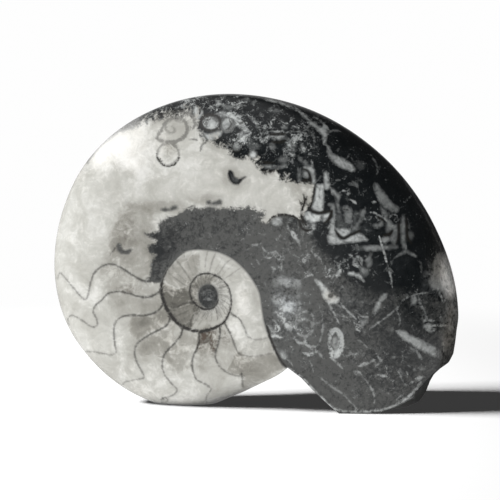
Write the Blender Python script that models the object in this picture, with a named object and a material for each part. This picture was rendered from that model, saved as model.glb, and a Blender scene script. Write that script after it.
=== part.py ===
"""Polished goniatite fossil: one coiled stone, sawn and ground to stand on two feet.

Metres, +Z up. The flat flanks face -Y and +Y, the coil lies in the XZ plane and opens to the right.
The origin is on the floor, under the middle of the stone. The stone is the same on both sides of y = 0.
"""
import math

import bmesh
import bpy
import numpy as np
from mathutils.geometry import delaunay_2d_cdt

MM = 0.001
NODE = "goniatite"

# The coil, in millimetres about its umbilicus, before the stone is centred on its own width.
UMBILICUS_X = -16.9
UMBILICUS_Z = 40.3
# Radius of the outer rim at angles from +X over the top, where the coil shrinks towards its centre.
RIM = ((-45, 96.0), (-30, 92.8), (-15, 89.9), (0, 86.6), (15, 82.2), (30, 78.3), (45, 74.8),
       (60, 72.0), (75, 69.6), (90, 67.6), (105, 65.6), (120, 63.5), (135, 61.0), (150, 57.9),
       (165, 55.3), (180, 53.1), (195, 50.9), (210, 48.4), (225, 46.5), (240, 45.0), (255, 43.6),
       (270, 41.2), (285, 38.2), (300, 36.4), (318, 37.0))
RIM_START_DEG = -6.0
NOTCH_DEG = 318.0

# The end of the body chamber, a sawn and broken face: its edge on the flank in X and Z, from the notch
# over the right foot to the rim, and how far the face swells past that edge halfway through the stone.
BROKEN_END = ((11.9, 14.6, 0.2), (15.4, 12.0, 0.4), (18.9, 8.3, 0.6), (22.5, 4.9, 0.5),
              (26.0, 1.7, 0.2), (28.2, 0.0, 0.0), (33.0, 0.0, 0.0), (37.8, 0.0, 0.0),
              (42.4, 0.5, 1.6), (46.9, 2.1, 3.6), (50.4, 3.8, 5.2), (53.2, 5.7, 6.0),
              (55.8, 8.2, 5.2), (58.2, 10.6, 3.6), (60.8, 12.8, 2.0), (63.3, 14.6, 1.2),
              (66.6, 16.2, 1.0), (68.2, 18.6, 0.8), (69.0, 22.5, 0.5), (69.6, 27.0, 0.2))

# Half the stone's depth on its flat flanks: thin at the back of the coil, thick at the body chamber.
HALF_DEPTH_LEFT = 14.5
HALF_DEPTH_RIGHT = 25.0
DEPTH_GROWS_FROM_X = -48.0
DEPTH_GROWS_TO_X = 50.0
BOW_CENTRE = (8.0, 22.0)
BOW_DEPTH = 4.0
BOW_REACH = 90.0

# Width of the rounding from the rim to the flat flank, at the same angles as the rim's.
ROUNDING_LEFT = 32.0
ROUNDING_RIGHT = 24.0
ROUNDING_NOTCH = 12.0
ROUNDING_SHRINKS_FROM_DEG = 255.0
SQUARE_EDGE_FROM_DEG = 268.0
FLANK_POWER = 2.3
RIM_POWER = 2.15

# Fineness of the faceted solid.
RIM_STEP = 3.4
FLANK_STEP = 4.4
RING_INSETS = (0.5, 1.5, 3.1, 5.6, 8.8)
FACE_STRIPS = 8
THINNEST_FACE = 1.0
BEVEL = 0.4

STONE_COLOUR = (0.17, 0.17, 0.17, 1.0)
STONE_ROUGHNESS = 0.18


def smoothstep(low, high, value):
    """Smooth rise from 0 at low to 1 at high."""
    t = np.clip((value - low) / (high - low), 0.0, 1.0)
    return t * t * (3.0 - 2.0 * t)


def rim_radius(degrees):
    """Rim radius at an angle: a cubic through the logarithms of the RIM radii."""
    angles = np.array([angle for angle, _ in RIM], dtype=float)
    logs = np.log([radius for _, radius in RIM])
    slopes = np.gradient(logs, angles)
    degrees = np.clip(np.asarray(degrees, dtype=float), angles[0], angles[-1])
    i = np.clip(np.searchsorted(angles, degrees, side="right") - 1, 0, len(angles) - 2)
    span = angles[i + 1] - angles[i]
    t = (degrees - angles[i]) / span
    rise = t * t * (3.0 - 2.0 * t)
    log_radius = (logs[i] * (1.0 - rise) + logs[i + 1] * rise
                  + slopes[i] * span * t * (1.0 - t) ** 2 - slopes[i + 1] * span * t * t * (1.0 - t))
    return np.exp(log_radius)


def coil_angle(x, z):
    """Angle about the umbilicus in degrees, cut at the notch."""
    degrees = np.degrees(np.arctan2(z - UMBILICUS_Z, x - UMBILICUS_X))
    return np.where(degrees < NOTCH_DEG - 360.0, degrees + 360.0, degrees)


def half_depth(x, z):
    """Distance from the middle plane to the flank at each point of the XZ plane."""
    degrees = coil_angle(x, z)
    distance = np.hypot(x - UMBILICUS_X, z - UMBILICUS_Z)
    near_notch = smoothstep(ROUNDING_SHRINKS_FROM_DEG, NOTCH_DEG, degrees)
    rounding = ROUNDING_LEFT + (ROUNDING_RIGHT - ROUNDING_LEFT) * smoothstep(150.0, 0.0, degrees)
    rounding = rounding + (ROUNDING_NOTCH - rounding) * near_notch
    squareness = smoothstep(SQUARE_EDGE_FROM_DEG, NOTCH_DEG, degrees)
    cut_off = 1.0 - (1.0 - squareness ** RIM_POWER) ** (1.0 / FLANK_POWER)
    inset = np.maximum(rim_radius(degrees) - distance + rounding * cut_off, 0.0)
    left_over = 1.0 - np.minimum(inset / rounding, 1.0)
    dome = (1.0 - left_over ** FLANK_POWER) ** (1.0 / RIM_POWER)
    growth = smoothstep(DEPTH_GROWS_FROM_X, DEPTH_GROWS_TO_X, x)
    bow = BOW_DEPTH * ((x - BOW_CENTRE[0]) ** 2 + (z - BOW_CENTRE[1]) ** 2) / BOW_REACH ** 2
    return (HALF_DEPTH_LEFT + (HALF_DEPTH_RIGHT - HALF_DEPTH_LEFT) * growth - bow) * dome


def flank_outline():
    """Outline of the flank, anticlockwise: points in X and Z, with the swelling of the face beyond each."""
    steps = int((NOTCH_DEG - RIM_START_DEG) * math.radians(60.0) / RIM_STEP)
    angles = np.linspace(RIM_START_DEG, NOTCH_DEG, steps)
    radii = rim_radius(angles)
    rim_x = UMBILICUS_X + radii * np.cos(np.radians(angles))
    rim_z = UMBILICUS_Z + radii * np.sin(np.radians(angles))
    coil = np.column_stack((rim_x, np.maximum(rim_z, 0.0), np.zeros(steps)))
    return np.vstack((coil, np.array(BROKEN_END)))


def outward_normals(outline):
    """Unit normals of the outline at its points, pointing out of the stone."""
    along = np.roll(outline[:, :2], -1, axis=0) - np.roll(outline[:, :2], 1, axis=0)
    normals = np.column_stack((along[:, 1], -along[:, 0]))
    return normals / np.linalg.norm(normals, axis=1, keepdims=True)


def distance_to_outline(points, outline):
    """Distance from each point to the nearest edge of the outline."""
    start = outline[:, :2]
    along = np.roll(start, -1, axis=0) - start
    to_point = points[:, None, :] - start[None]
    t = np.clip((to_point * along).sum(2) / (along ** 2).sum(1), 0.0, 1.0)
    return np.linalg.norm(to_point - t[:, :, None] * along, axis=2).min(axis=1)


def is_inside(points, outline):
    """Whether each point is inside the outline, by counting the edges to its right."""
    x0, z0 = outline[:, 0], outline[:, 1]
    x1, z1 = np.roll(x0, -1), np.roll(z0, -1)
    spans = (z0 > points[:, 1:2]) != (z1 > points[:, 1:2])
    rise = np.where(z1 == z0, 1.0, z1 - z0)
    crossing = x0 + (points[:, 1:2] - z0) * (x1 - x0) / rise
    return (spans & (points[:, 0:1] < crossing)).sum(1) % 2 == 1


def flank_points(outline):
    """Points inside the outline: rings that follow the rounded rim, then a triangular grid."""
    normals = outward_normals(outline)
    rings = []
    for inset in RING_INSETS:
        ring = outline[:, :2] - normals * inset
        clear = distance_to_outline(ring, outline) > 0.9 * inset
        rings.append(ring[clear & is_inside(ring, outline)])
    row_step = FLANK_STEP * math.sqrt(0.75)
    low, high = outline[:, :2].min(axis=0), outline[:, :2].max(axis=0)
    columns = np.arange(low[0], high[0], FLANK_STEP)
    rows = np.arange(low[1], high[1], row_step)
    grid_x, grid_z = np.meshgrid(columns, rows)
    grid_x[1::2] += FLANK_STEP / 2.0
    grid = np.column_stack((grid_x.ravel(), grid_z.ravel()))
    grid = grid[is_inside(grid, outline)]
    clearance = RING_INSETS[-1] + FLANK_STEP / 2.0
    return np.vstack(rings + [grid[distance_to_outline(grid, outline) > clearance]])


def face_column(mesh, point, normal, swelling, depth):
    """Vertices across the stone at one point of the outline, or a single one on the closed rim."""
    if depth < THINNEST_FACE:
        return [mesh.verts.new((point[0], 0.0, point[1]))] * (FACE_STRIPS + 1)
    column = []
    for t in np.linspace(-1.0, 1.0, FACE_STRIPS + 1):
        across = point + normal * swelling * (1.0 - t * t)
        column.append(mesh.verts.new((across[0], t * (depth - BEVEL), max(across[1], 0.0))))
    return column


def build_stone():
    """The whole stone as one closed mesh, in millimetres, standing at z = 0."""
    outline = flank_outline()
    normals = outward_normals(outline)
    count = len(outline)
    plan = np.vstack((outline[:, :2], flank_points(outline)))
    loop = [(i, (i + 1) % count) for i in range(count)]
    plan_points, _, faces, sources, _, _ = delaunay_2d_cdt([tuple(p) for p in plan], loop, [], 1, 1e-6)
    depths = half_depth(plan[:, 0], plan[:, 1])

    mesh = bmesh.new()
    columns = [face_column(mesh, outline[i, :2], normals[i], outline[i, 2], depths[i])
               for i in range(count)]
    front, back = [], []
    for point, source in zip(plan_points, sources):
        if source[0] < count:
            front.append(columns[source[0]][0])
            back.append(columns[source[0]][-1])
        else:
            depth = depths[source[0]]
            front.append(mesh.verts.new((point[0], -depth, point[1])))
            back.append(mesh.verts.new((point[0], depth, point[1])))
    for face in faces:
        mesh.faces.new([front[i] for i in face])
        mesh.faces.new([back[i] for i in reversed(face)])
    for near, far in zip(columns, columns[1:] + columns[:1]):
        for k in range(FACE_STRIPS):
            corners = list(dict.fromkeys((near[k], near[k + 1], far[k + 1], far[k])))
            if len(corners) > 2:
                mesh.faces.new(corners)
    bmesh.ops.triangulate(mesh, faces=[f for f in mesh.faces if len(f.verts) > 3])
    return mesh


def stone_material():
    """Polished dark limestone."""
    material = bpy.data.materials.new("polished_stone")
    material.use_nodes = True
    shader = material.node_tree.nodes["Principled BSDF"]
    shader.inputs["Base Color"].default_value = STONE_COLOUR
    shader.inputs["Roughness"].default_value = STONE_ROUGHNESS
    shader.inputs["Metallic"].default_value = 0.0
    return material


def main():
    for existing in list(bpy.data.objects):
        bpy.data.objects.remove(existing, do_unlink=True)
    mesh = build_stone()
    across = [vertex.co.x for vertex in mesh.verts]
    middle = (min(across) + max(across)) / 2.0
    bmesh.ops.translate(mesh, verts=mesh.verts, vec=(-middle, 0.0, 0.0))
    bmesh.ops.scale(mesh, verts=mesh.verts, vec=(MM, MM, MM))
    data = bpy.data.meshes.new(NODE)
    mesh.to_mesh(data)
    mesh.free()
    data.shade_smooth()
    data.set_sharp_from_angle(angle=math.radians(35.0))
    data.materials.append(stone_material())
    stone = bpy.data.objects.new(NODE, data)
    bpy.context.scene.collection.objects.link(stone)
    bpy.context.view_layer.update()
    size = [round(length * 1000.0, 1) for length in stone.dimensions]
    print(f"1 nodes, {len(data.polygons)} triangles, size {size} mm, shifted {-middle:.2f} mm in X")


main()
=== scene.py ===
"""Looks of the polished goniatite fossil: the stone's fine surface, its markings, the light and the camera."""
import math

import bmesh
import bpy
import numpy as np
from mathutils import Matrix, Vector
from mathutils.geometry import delaunay_2d_cdt


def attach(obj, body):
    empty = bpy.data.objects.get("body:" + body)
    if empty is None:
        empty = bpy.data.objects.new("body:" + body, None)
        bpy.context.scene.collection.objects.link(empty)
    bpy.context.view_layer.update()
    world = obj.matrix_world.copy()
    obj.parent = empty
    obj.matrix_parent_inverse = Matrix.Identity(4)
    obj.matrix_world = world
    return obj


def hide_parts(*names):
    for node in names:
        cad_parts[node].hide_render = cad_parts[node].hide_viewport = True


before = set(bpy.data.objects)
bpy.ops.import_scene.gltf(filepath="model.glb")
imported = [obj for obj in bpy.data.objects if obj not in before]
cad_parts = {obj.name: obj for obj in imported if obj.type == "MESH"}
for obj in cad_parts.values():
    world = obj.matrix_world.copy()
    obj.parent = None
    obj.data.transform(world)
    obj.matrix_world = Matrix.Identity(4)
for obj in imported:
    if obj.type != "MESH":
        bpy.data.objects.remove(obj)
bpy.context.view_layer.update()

MM = 0.001
TINY = 1e-12

# ---------------------------------------------------------------- the stone's shape, as in part.py, in mm

UMBILICUS_X = -16.9
UMBILICUS_Z = 40.3
RIM = (
    (-45, 96.0), (-30, 92.8), (-15, 89.9), (0, 86.6), (15, 82.2), (30, 78.3), (45, 74.8), (60, 72.0), (75, 69.6),
    (90, 67.6), (105, 65.6), (120, 63.5), (135, 61.0), (150, 57.9), (165, 55.3), (180, 53.1), (195, 50.9), (210, 48.4),
    (225, 46.5), (240, 45.0), (255, 43.6), (270, 41.2), (285, 38.2), (300, 36.4), (318, 37.0))
RIM_START_DEG = -6.0
NOTCH_DEG = 318.0
BROKEN_END = (
    (11.9, 14.6, 0.2), (15.4, 12.0, 0.4), (18.9, 8.3, 0.6), (22.5, 4.9, 0.5), (26.0, 1.7, 0.2), (28.2, 0.0, 0.0),
    (33.0, 0.0, 0.0), (37.8, 0.0, 0.0), (42.4, 0.5, 1.6), (46.9, 2.1, 3.6), (50.4, 3.8, 5.2), (53.2, 5.7, 6.0),
    (55.8, 8.2, 5.2), (58.2, 10.6, 3.6), (60.8, 12.8, 2.0), (63.3, 14.6, 1.2), (66.6, 16.2, 1.0), (68.2, 18.6, 0.8),
    (69.0, 22.5, 0.5), (69.6, 27.0, 0.2))
HALF_DEPTH_LEFT = 14.5
HALF_DEPTH_RIGHT = 25.0
DEPTH_GROWS_FROM_X = -48.0
DEPTH_GROWS_TO_X = 50.0
BOW_CENTRE = (8.0, 22.0)
BOW_DEPTH = 4.0
BOW_REACH = 90.0
ROUNDING_LEFT = 32.0
ROUNDING_RIGHT = 24.0
ROUNDING_NOTCH = 12.0
ROUNDING_SHRINKS_FROM_DEG = 255.0
SQUARE_EDGE_FROM_DEG = 268.0
ROUNDING_CHANGES_DEG = (150.0, 0.0)
FLANK_POWER = 2.3
RIM_POWER = 2.15

# Fineness of the visible surface, in mm.
STATION_STEP = 0.66
BAND_WIDTH_RIM = 8.0
BAND_WIDTH_FACE = 1.0
BAND_POWER = 2.15
FRONT_BAND_ROWS = 26
BACK_BAND_ROWS = 14
FACE_ROWS = 44
FRONT_STEP = 0.48
BACK_STEP = 1.0
EDGE_BEVEL = 0.3
MEAN_RIM_RADIUS = 58.0
FACE_BLEND_STATIONS = 60
FACE_BLEND_FULL = 0.9
THINNEST_EDGE = 0.5
FILL_CLEARANCE = 0.55
FILL_INSIDE = 1
FILL_NEARNESS = 1e-7
WELD_REACH = 0.002
PART_SIZE = 4000


def new_object(name, data):
    """A new object in the scene."""
    made = bpy.data.objects.new(name, data)
    bpy.context.scene.collection.objects.link(made)
    return made


def smoothstep(low, high, value):
    """0 at low to 1 at high, smoothly; low may be the greater."""
    t = np.clip((value - low) / (high - low), 0.0, 1.0)
    return t * t * (3.0 - 2.0 * t)


def in_parts(places):
    """The places in runs short enough to set against every point of an outline at once."""
    return np.array_split(places, max(1, len(places) // PART_SIZE))


def rim_radius(degrees):
    """Rim radius at an angle: a cubic through the logarithms of the RIM radii."""
    angles = np.array([angle for angle, _ in RIM], dtype=float)
    logs = np.log([radius for _, radius in RIM])
    slopes = np.gradient(logs, angles)
    degrees = np.clip(np.asarray(degrees, dtype=float), angles[0], angles[-1])
    i = np.clip(np.searchsorted(angles, degrees, side="right") - 1, 0, len(angles) - 2)
    span = angles[i + 1] - angles[i]
    t = (degrees - angles[i]) / span
    rise = t * t * (3.0 - 2.0 * t)
    log_radius = (logs[i] * (1.0 - rise) + logs[i + 1] * rise
                  + slopes[i] * span * t * (1.0 - t) ** 2 - slopes[i + 1] * span * t * t * (1.0 - t))
    return np.exp(log_radius)


def coil_angle(x, z):
    """Angle about the umbilicus in degrees, cut at the notch."""
    degrees = np.degrees(np.arctan2(z - UMBILICUS_Z, x - UMBILICUS_X))
    return np.where(degrees < NOTCH_DEG - 360.0, degrees + 360.0, degrees)


def half_depth(x, z):
    """Distance from the middle plane to the flank at each point of the XZ plane."""
    degrees = coil_angle(x, z)
    distance = np.hypot(x - UMBILICUS_X, z - UMBILICUS_Z)
    near_notch = smoothstep(ROUNDING_SHRINKS_FROM_DEG, NOTCH_DEG, degrees)
    rounding = ROUNDING_LEFT + (ROUNDING_RIGHT - ROUNDING_LEFT) * smoothstep(*ROUNDING_CHANGES_DEG, degrees)
    rounding = rounding + (ROUNDING_NOTCH - rounding) * near_notch
    squareness = smoothstep(SQUARE_EDGE_FROM_DEG, NOTCH_DEG, degrees)
    cut_off = 1.0 - (1.0 - squareness ** RIM_POWER) ** (1.0 / FLANK_POWER)
    inset = np.maximum(rim_radius(degrees) - distance + rounding * cut_off, 0.0)
    left_over = 1.0 - np.minimum(inset / rounding, 1.0)
    dome = (1.0 - left_over ** FLANK_POWER) ** (1.0 / RIM_POWER)
    growth = smoothstep(DEPTH_GROWS_FROM_X, DEPTH_GROWS_TO_X, x)
    bow = BOW_DEPTH * ((x - BOW_CENTRE[0]) ** 2 + (z - BOW_CENTRE[1]) ** 2) / BOW_REACH ** 2
    return (HALF_DEPTH_LEFT + (HALF_DEPTH_RIGHT - HALF_DEPTH_LEFT) * growth - bow) * dome


def resample(points, step):
    """Points at even steps of about the given length along a polyline, with its corners kept."""
    out = []
    for a, b in zip(points[:-1], points[1:]):
        count = max(1, int(round(math.hypot(b[0] - a[0], b[1] - a[1]) / step)))
        out += [a + (b - a) * k / count for k in range(count)]
    return np.array(out)


def stone_outline():
    """The flank's outline at fine steps: X, Z, the end face's swelling, and 1 on the end face."""
    steps = int((NOTCH_DEG - RIM_START_DEG) * math.radians(MEAN_RIM_RADIUS) / STATION_STEP)
    angles = np.linspace(RIM_START_DEG, NOTCH_DEG, steps)
    radii = rim_radius(angles)
    turn = np.radians(angles)
    coil = np.column_stack((UMBILICUS_X + radii * np.cos(turn), UMBILICUS_Z + radii * np.sin(turn),
                            np.zeros(steps), np.zeros(steps)))
    face = resample(np.vstack((coil[-1:, :3], BROKEN_END, coil[:1, :3])), STATION_STEP)[1:]
    return np.vstack((coil, np.column_stack((face, np.ones(len(face))))))


def outward_normals(outline):
    """The direction out of the outline at each of its points, in the XZ plane."""
    along = np.roll(outline[:, :2], -1, axis=0) - np.roll(outline[:, :2], 1, axis=0)
    normals = np.column_stack((along[:, 1], -along[:, 0]))
    return normals / np.linalg.norm(normals, axis=1, keepdims=True)


def is_inside(points, ring):
    """Whether each point is inside a closed ring of points."""
    x0, z0 = ring[:, 0], ring[:, 1]
    x1, z1 = np.roll(x0, -1), np.roll(z0, -1)
    rise = np.where(z1 == z0, 1.0, z1 - z0)
    inside = []
    for part in in_parts(points):
        spans = (z0 > part[:, 1:2]) != (z1 > part[:, 1:2])
        crossing = x0 + (part[:, 1:2] - z0) * (x1 - x0) / rise
        inside.append((spans & (part[:, 0:1] < crossing)).sum(1) % 2 == 1)
    return np.concatenate(inside)


def clear_of(points, ring, gap):
    """Whether each point is further than gap from every point of the ring."""
    clear = []
    for part in in_parts(points):
        apart = (part[:, 0:1] - ring[:, 0]) ** 2 + (part[:, 1:2] - ring[:, 1]) ** 2
        clear.append(apart.min(axis=1) > gap * gap)
    return np.concatenate(clear)


def fill_flank(ring, step):
    """Even triangles inside a ring: their points, the ring's first, and their corners."""
    low, high = ring.min(axis=0), ring.max(axis=0)
    grid_x, grid_z = np.meshgrid(np.arange(low[0], high[0], step),
                                 np.arange(low[1], high[1], step * math.sqrt(0.75)))
    grid_x[1::2] += step / 2.0
    grid = np.column_stack((grid_x.ravel(), grid_z.ravel()))
    grid = grid[is_inside(grid, ring)]
    grid = grid[clear_of(grid, ring, FILL_CLEARANCE * step)]
    plan = np.vstack((ring, grid))
    count = len(ring)
    loop = [(i, (i + 1) % count) for i in range(count)]
    _, _, faces, sources, _, _ = delaunay_2d_cdt([tuple(p) for p in plan], loop, [], FILL_INSIDE, FILL_NEARNESS)
    order = [source[0] for source in sources]
    return plan, [[order[i] for i in face] for face in faces]


def stone_mesh():
    """The stone's fine surface: a band of rows over the rim or the end face, and two filled flanks."""
    outline = stone_outline()
    normals = outward_normals(outline)
    outline[:, 1] = np.maximum(outline[:, 1], 0.0)
    stations = len(outline)
    on_face = outline[:, 3]
    near_face = on_face.copy()
    for _ in range(FACE_BLEND_STATIONS):
        near_face = np.maximum(near_face, 0.5 * (np.roll(near_face, 1) + np.roll(near_face, -1)))
    band = BAND_WIDTH_RIM + (BAND_WIDTH_FACE - BAND_WIDTH_RIM) * smoothstep(0.0, FACE_BLEND_FULL, near_face)
    edge_depth = half_depth(outline[:, 0], outline[:, 1])
    edge_depth = np.where(edge_depth < THINNEST_EDGE, 0.0, edge_depth)

    def band_row(share, side):
        """One row along a flank's border, from its edge at share 0 to the filled part at share 1."""
        inset = band * share ** BAND_POWER
        plan = outline[:, :2] - normals * inset[:, None]
        plan[:, 1] = np.maximum(plan[:, 1], 0.0)
        depth = half_depth(plan[:, 0], plan[:, 1]) if share > 0.0 else edge_depth
        lost = np.where(edge_depth > 0.0, EDGE_BEVEL * np.clip(1.0 - inset / EDGE_BEVEL, 0.0, 1.0), 0.0)
        return np.column_stack((plan[:, 0], side * np.maximum(depth - lost, 0.0), plan[:, 1]))

    rows = [band_row(1.0 - k / FRONT_BAND_ROWS, -1.0) for k in range(FRONT_BAND_ROWS)]
    for k in range(FACE_ROWS + 1):
        t = -1.0 + 2.0 * k / FACE_ROWS
        swell = (outline[:, 2] * (1.0 - t * t))[:, None]
        plan = outline[:, :2] + normals * swell
        depth = np.maximum(edge_depth - EDGE_BEVEL, 0.0)
        rows.append(np.column_stack((plan[:, 0], t * depth, np.maximum(plan[:, 1], 0.0))))
    rows += [band_row((k + 1) / BACK_BAND_ROWS, 1.0) for k in range(BACK_BAND_ROWS)]
    verts = np.vstack(rows)
    faces = [(start + s, start + stations + s, start + stations + n, start + n)
             for start in range(0, (len(rows) - 1) * stations, stations)
             for s, n in zip(range(stations), [*range(1, stations), 0])]
    for side, row, step in ((-1.0, 0, FRONT_STEP), (1.0, len(rows) - 1, BACK_STEP)):
        ring = rows[row][:, [0, 2]]
        plan, triangles = fill_flank(ring, step)
        inner = plan[stations:]
        depth = half_depth(inner[:, 0], inner[:, 1])
        start = len(verts)
        verts = np.vstack((verts, np.column_stack((inner[:, 0], side * depth, inner[:, 1]))))
        number = [row * stations + i if i < stations else start + i - stations for i in range(len(plan))]
        for triangle in triangles:
            corner = [number[i] for i in triangle]
            faces.append(corner if side < 0.0 else corner[::-1])
    broken = np.zeros(len(verts))
    broken[FRONT_BAND_ROWS * stations:(FRONT_BAND_ROWS + FACE_ROWS + 1) * stations] = np.tile(on_face, FACE_ROWS + 1)
    return verts, faces, broken


def set_number(mesh, name, values):
    """Stores a number at each vertex, for the material."""
    mesh.attributes.new(name, "FLOAT", "POINT").data.foreach_set("value", values.astype(np.float32))


def make_stone():
    """The stone's piece, closed and clean, in metres."""
    verts, faces, broken = stone_mesh()
    data = bpy.data.meshes.new("goniatite_stone")
    data.from_pydata((verts * MM).tolist(), [], faces)
    set_number(data, "broken", broken)
    mesh = bmesh.new()
    mesh.from_mesh(data)
    bmesh.ops.remove_doubles(mesh, verts=mesh.verts, dist=WELD_REACH * MM)
    bmesh.ops.triangulate(mesh, faces=[f for f in mesh.faces if len(f.verts) > 3])
    mesh.to_mesh(data)
    mesh.free()
    data.shade_smooth()
    stone = new_object("goniatite_stone", data)
    # The stone doesn't dim the even light of the surroundings, on itself or on the table.
    stone.visible_diffuse = False
    return stone


# ---------------------------------------------------------------- the camera, with lengths in mm

CAMERA_AIM = (-2.27, 0.0, 53.79)
CAMERA_DISTANCE = 900.0
CAMERA_ELEVATION_DEG = 6.5
LENS = 185.5
SENSOR = 36.0
PICTURE_PIXELS = 500.0
FARTHEST_SEEN_M = 20.0


def camera_axes():
    """The camera's place in mm and its right, up and forward directions."""
    tilt = math.radians(CAMERA_ELEVATION_DEG)
    forward = np.array((0.0, math.cos(tilt), -math.sin(tilt)))
    right = np.array((1.0, 0.0, 0.0))
    return np.array(CAMERA_AIM) - CAMERA_DISTANCE * forward, right, np.cross(right, forward), forward


def picture_pixel(points):
    """The picture's pixel at each point in mm, with the stone's back mirrored to its front."""
    place, right, up, forward = camera_axes()
    to_point = np.column_stack((points[:, 0], -np.abs(points[:, 1]), points[:, 2])) - place
    scale = PICTURE_PIXELS * LENS / SENSOR / (to_point @ forward)
    middle = PICTURE_PIXELS / 2.0
    return np.column_stack((middle + scale * (to_point @ right), middle - scale * (to_point @ up)))


def make_camera():
    """The photo's view."""
    place, _, _, forward = camera_axes()
    data = bpy.data.cameras.new("camera")
    data.lens = LENS
    data.sensor_width = SENSOR
    data.clip_end = FARTHEST_SEEN_M
    camera = new_object("camera", data)
    camera.location = Vector(place * MM)
    camera.rotation_euler = Vector(forward).to_track_quat("-Z", "Y").to_euler()
    bpy.context.scene.camera = camera
    bpy.context.scene.view_settings.view_transform = "Standard"


# ---------------------------------------------------------------- markings, in pixels of the picture

def pairs(numbers):
    """Points from a flat row of numbers, x and y by turns."""
    return tuple(zip(numbers[::2], numbers[1::2]))


# Edge of the black limestone, clockwise from the notch, along the inner whorl and over the white body.
BLACK_ALONG_WHORL = pairs((
    288,370, 281.2,364.1, 274.1,349.8, 268,335.5, 263.9,323.3, 261.8,311, 259.3,294.7, 254.7,284.5, 245.5,271.2,
    233.3,260, 220.2,253.3, 206.1,250.5, 192.1,250.5, 181.6,254, 171,264.6, 164.7,273.7, 161,283))
BLACK_OVER_BODY = pairs((
    150,282.5, 145.7,280.9, 149.6,276.1, 150.5,271.3, 152.4,260.8, 156.3,255.1, 149.6,252.2, 147.7,246.4, 156.3,241.7,
    145.7,234, 157.2,231.1, 159.1,226.4, 163.9,220.6, 171.6,215.8, 180.2,213, 189.7,209.1, 201.2,209.1, 208.9,206.3,
    216.5,208.2, 224.2,209.1, 235.7,208.2, 241.4,209.1, 250,208.2, 256.7,210.1, 263.4,214.9, 259.6,219.7, 264.4,222.5,
    269.1,221.6, 273.9,216.8, 281.6,214.4, 291,214.9, 299.6,218.7, 303.4,215.8, 306.3,209.1, 312,199.6, 313,184.3,
    304.4,182.4, 294.8,180.5, 283.3,175.7, 275.7,170.9, 262.3,169.9, 261.3,159.4, 247,156.5, 237.4,158.4, 231.7,151.7,
    225,145, 218,143, 217,136, 221,132, 214,131, 206,136, 200,131, 198,120, 202,113, 196,108, 188,106, 172,109,
    156,114, 142,120, 128,128, 117,134, 108,141, 98,150, 88,162))
# From there round the outside of the stone, back to the start.
BLACK_OUTSIDE = pairs((78,158, 90,130, 150,80, 300,60, 430,110, 490,250, 490,410, 420,440, 320,440, 300,400))
# The limestone is grey and dull on this side of a soft edge, partly its own grey and partly painted reflection of the
# polish, and deep black beyond it.
GREY_AND_REFLECTION_EDGE = pairs((
    288,200, 300,212, 308,232, 318,250, 331,262, 346,279, 362,288, 376,296, 389,293, 403,292, 420,294, 436,298,
    452,304))
GREY_AND_REFLECTION_REST = pairs((480,310, 480,430, 90,430, 90,190))
GREY_AND_REFLECTION_SOFT = 7.0
# Black marks apart from it: the umbilicus first, then the spots on the white body.
BLACK_SPOTS = (
    (198,294, 200,287.6, 205,284.2, 211,284, 216,288, 218.4,294.6, 217.4,302, 213.4,307, 207.6,308.8, 202,306,
     198.6,301),
    (206,201.6, 210,200, 212,202.4, 216,200.6, 221,199.6, 221.4,204, 216,205.4, 211,204.6, 208,205),
    (161,209.6, 165,207.4, 169,209, 173,206, 177,206.4, 176,209.4, 170,210.6, 165,211.6),
    (227.6,172.6, 230.4,169.8, 233.4,172.4, 234.6,176, 238,178.2, 243.6,176.8, 246,177, 242.6,180.6, 238.4,184.6,
     233.4,184.4, 229.4,180),
    (117.6,243.4, 120.8,244.2, 121.8,247.4, 125,250, 132.8,249.2, 129,253.4, 123,254.2, 118,251.4, 116.4,247),
)

# Suture lines of the outer whorl, dark on the white calcite.
SUTURES = (
    (57.6,278.7, 60.3,273, 66.3,279.3, 73.3,287.9, 84.2,299.3, 87.9,295, 90.7,282.5, 94.5,272.8, 102,266.3,
     110.7,264.1, 120.5,267.3, 132.4,274.9, 142.2,280.4, 148.1,281.4, 154.1,280.9, 160,279.6),
    (69,324.8, 67.9,319.4, 70.6,315.6, 76,316.7, 84.7,322.1, 92.3,327, 97.2,324.8, 96.6,319.4, 93.4,311.8, 95.5,305.3,
     102,299.9, 108.5,293.4, 119.4,291.6, 128.1,293.2, 136.7,296.1, 144.3,297.2, 151.9,296.1, 160,291.4),
    (86.9,351.4, 95.5,351.9, 102,353.5, 110.7,354.6, 116.1,352.5, 115,345.4, 114,336.7, 114,328.1, 116.1,321.6,
     121.6,317.2, 130.2,315, 143.2,315.6, 153,313.4, 159.5,309.1, 163.4,303.6),
    (122.6,384.4, 125.9,381.7, 136.7,379.6, 142.2,378.5, 144.3,376.3, 141.1,370.3, 136.7,361.7, 134.6,353, 136.2,345.4,
     142.2,339.4, 150.8,334, 159.5,329.7, 166,325.9, 169.3,320.5, 170.4,315.6),
    (161.7,402.9, 164.9,398.5, 172.5,395.3, 176.8,390.9, 175.8,387.7, 170.3,382.3, 164.9,374.7, 162.2,366, 163.3,357.3,
     167.1,350.8, 174.7,343.2, 180.1,336.7, 182.6,329.4),
    (206.5,403.7, 206.5,396.8, 209.6,392.2, 211.1,388.4, 207.3,385.3, 201.2,382.2, 196.6,379.2, 193.1,372, 192,361.7,
     194.2,354.1, 197.4,347.6, 199.1,340, 199.1,332.5),
    (219.8,326, 219.6,338.2, 215.4,355, 219.6,366.2, 228.7,373.4, 237.1,375.7, 244,376.1),
    (241.7,374.6, 242.4,380, 242.9,386.1),
    (224.6,323.5, 229.2,331.4, 232.2,338.6, 235.3,346.7, 239.4,353.9, 248.6,356.4, 260.8,355.4, 272,353.4),
    (231.3,313.6, 239.4,319.2, 243.5,326.3, 246.5,333.5, 250.6,338.1, 257.8,339.6, 268.4,337.6),
    (162.6,398.6, 165.8,397.6, 167.6,400.2, 165.6,402.6, 162.8,401.6),
)
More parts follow.
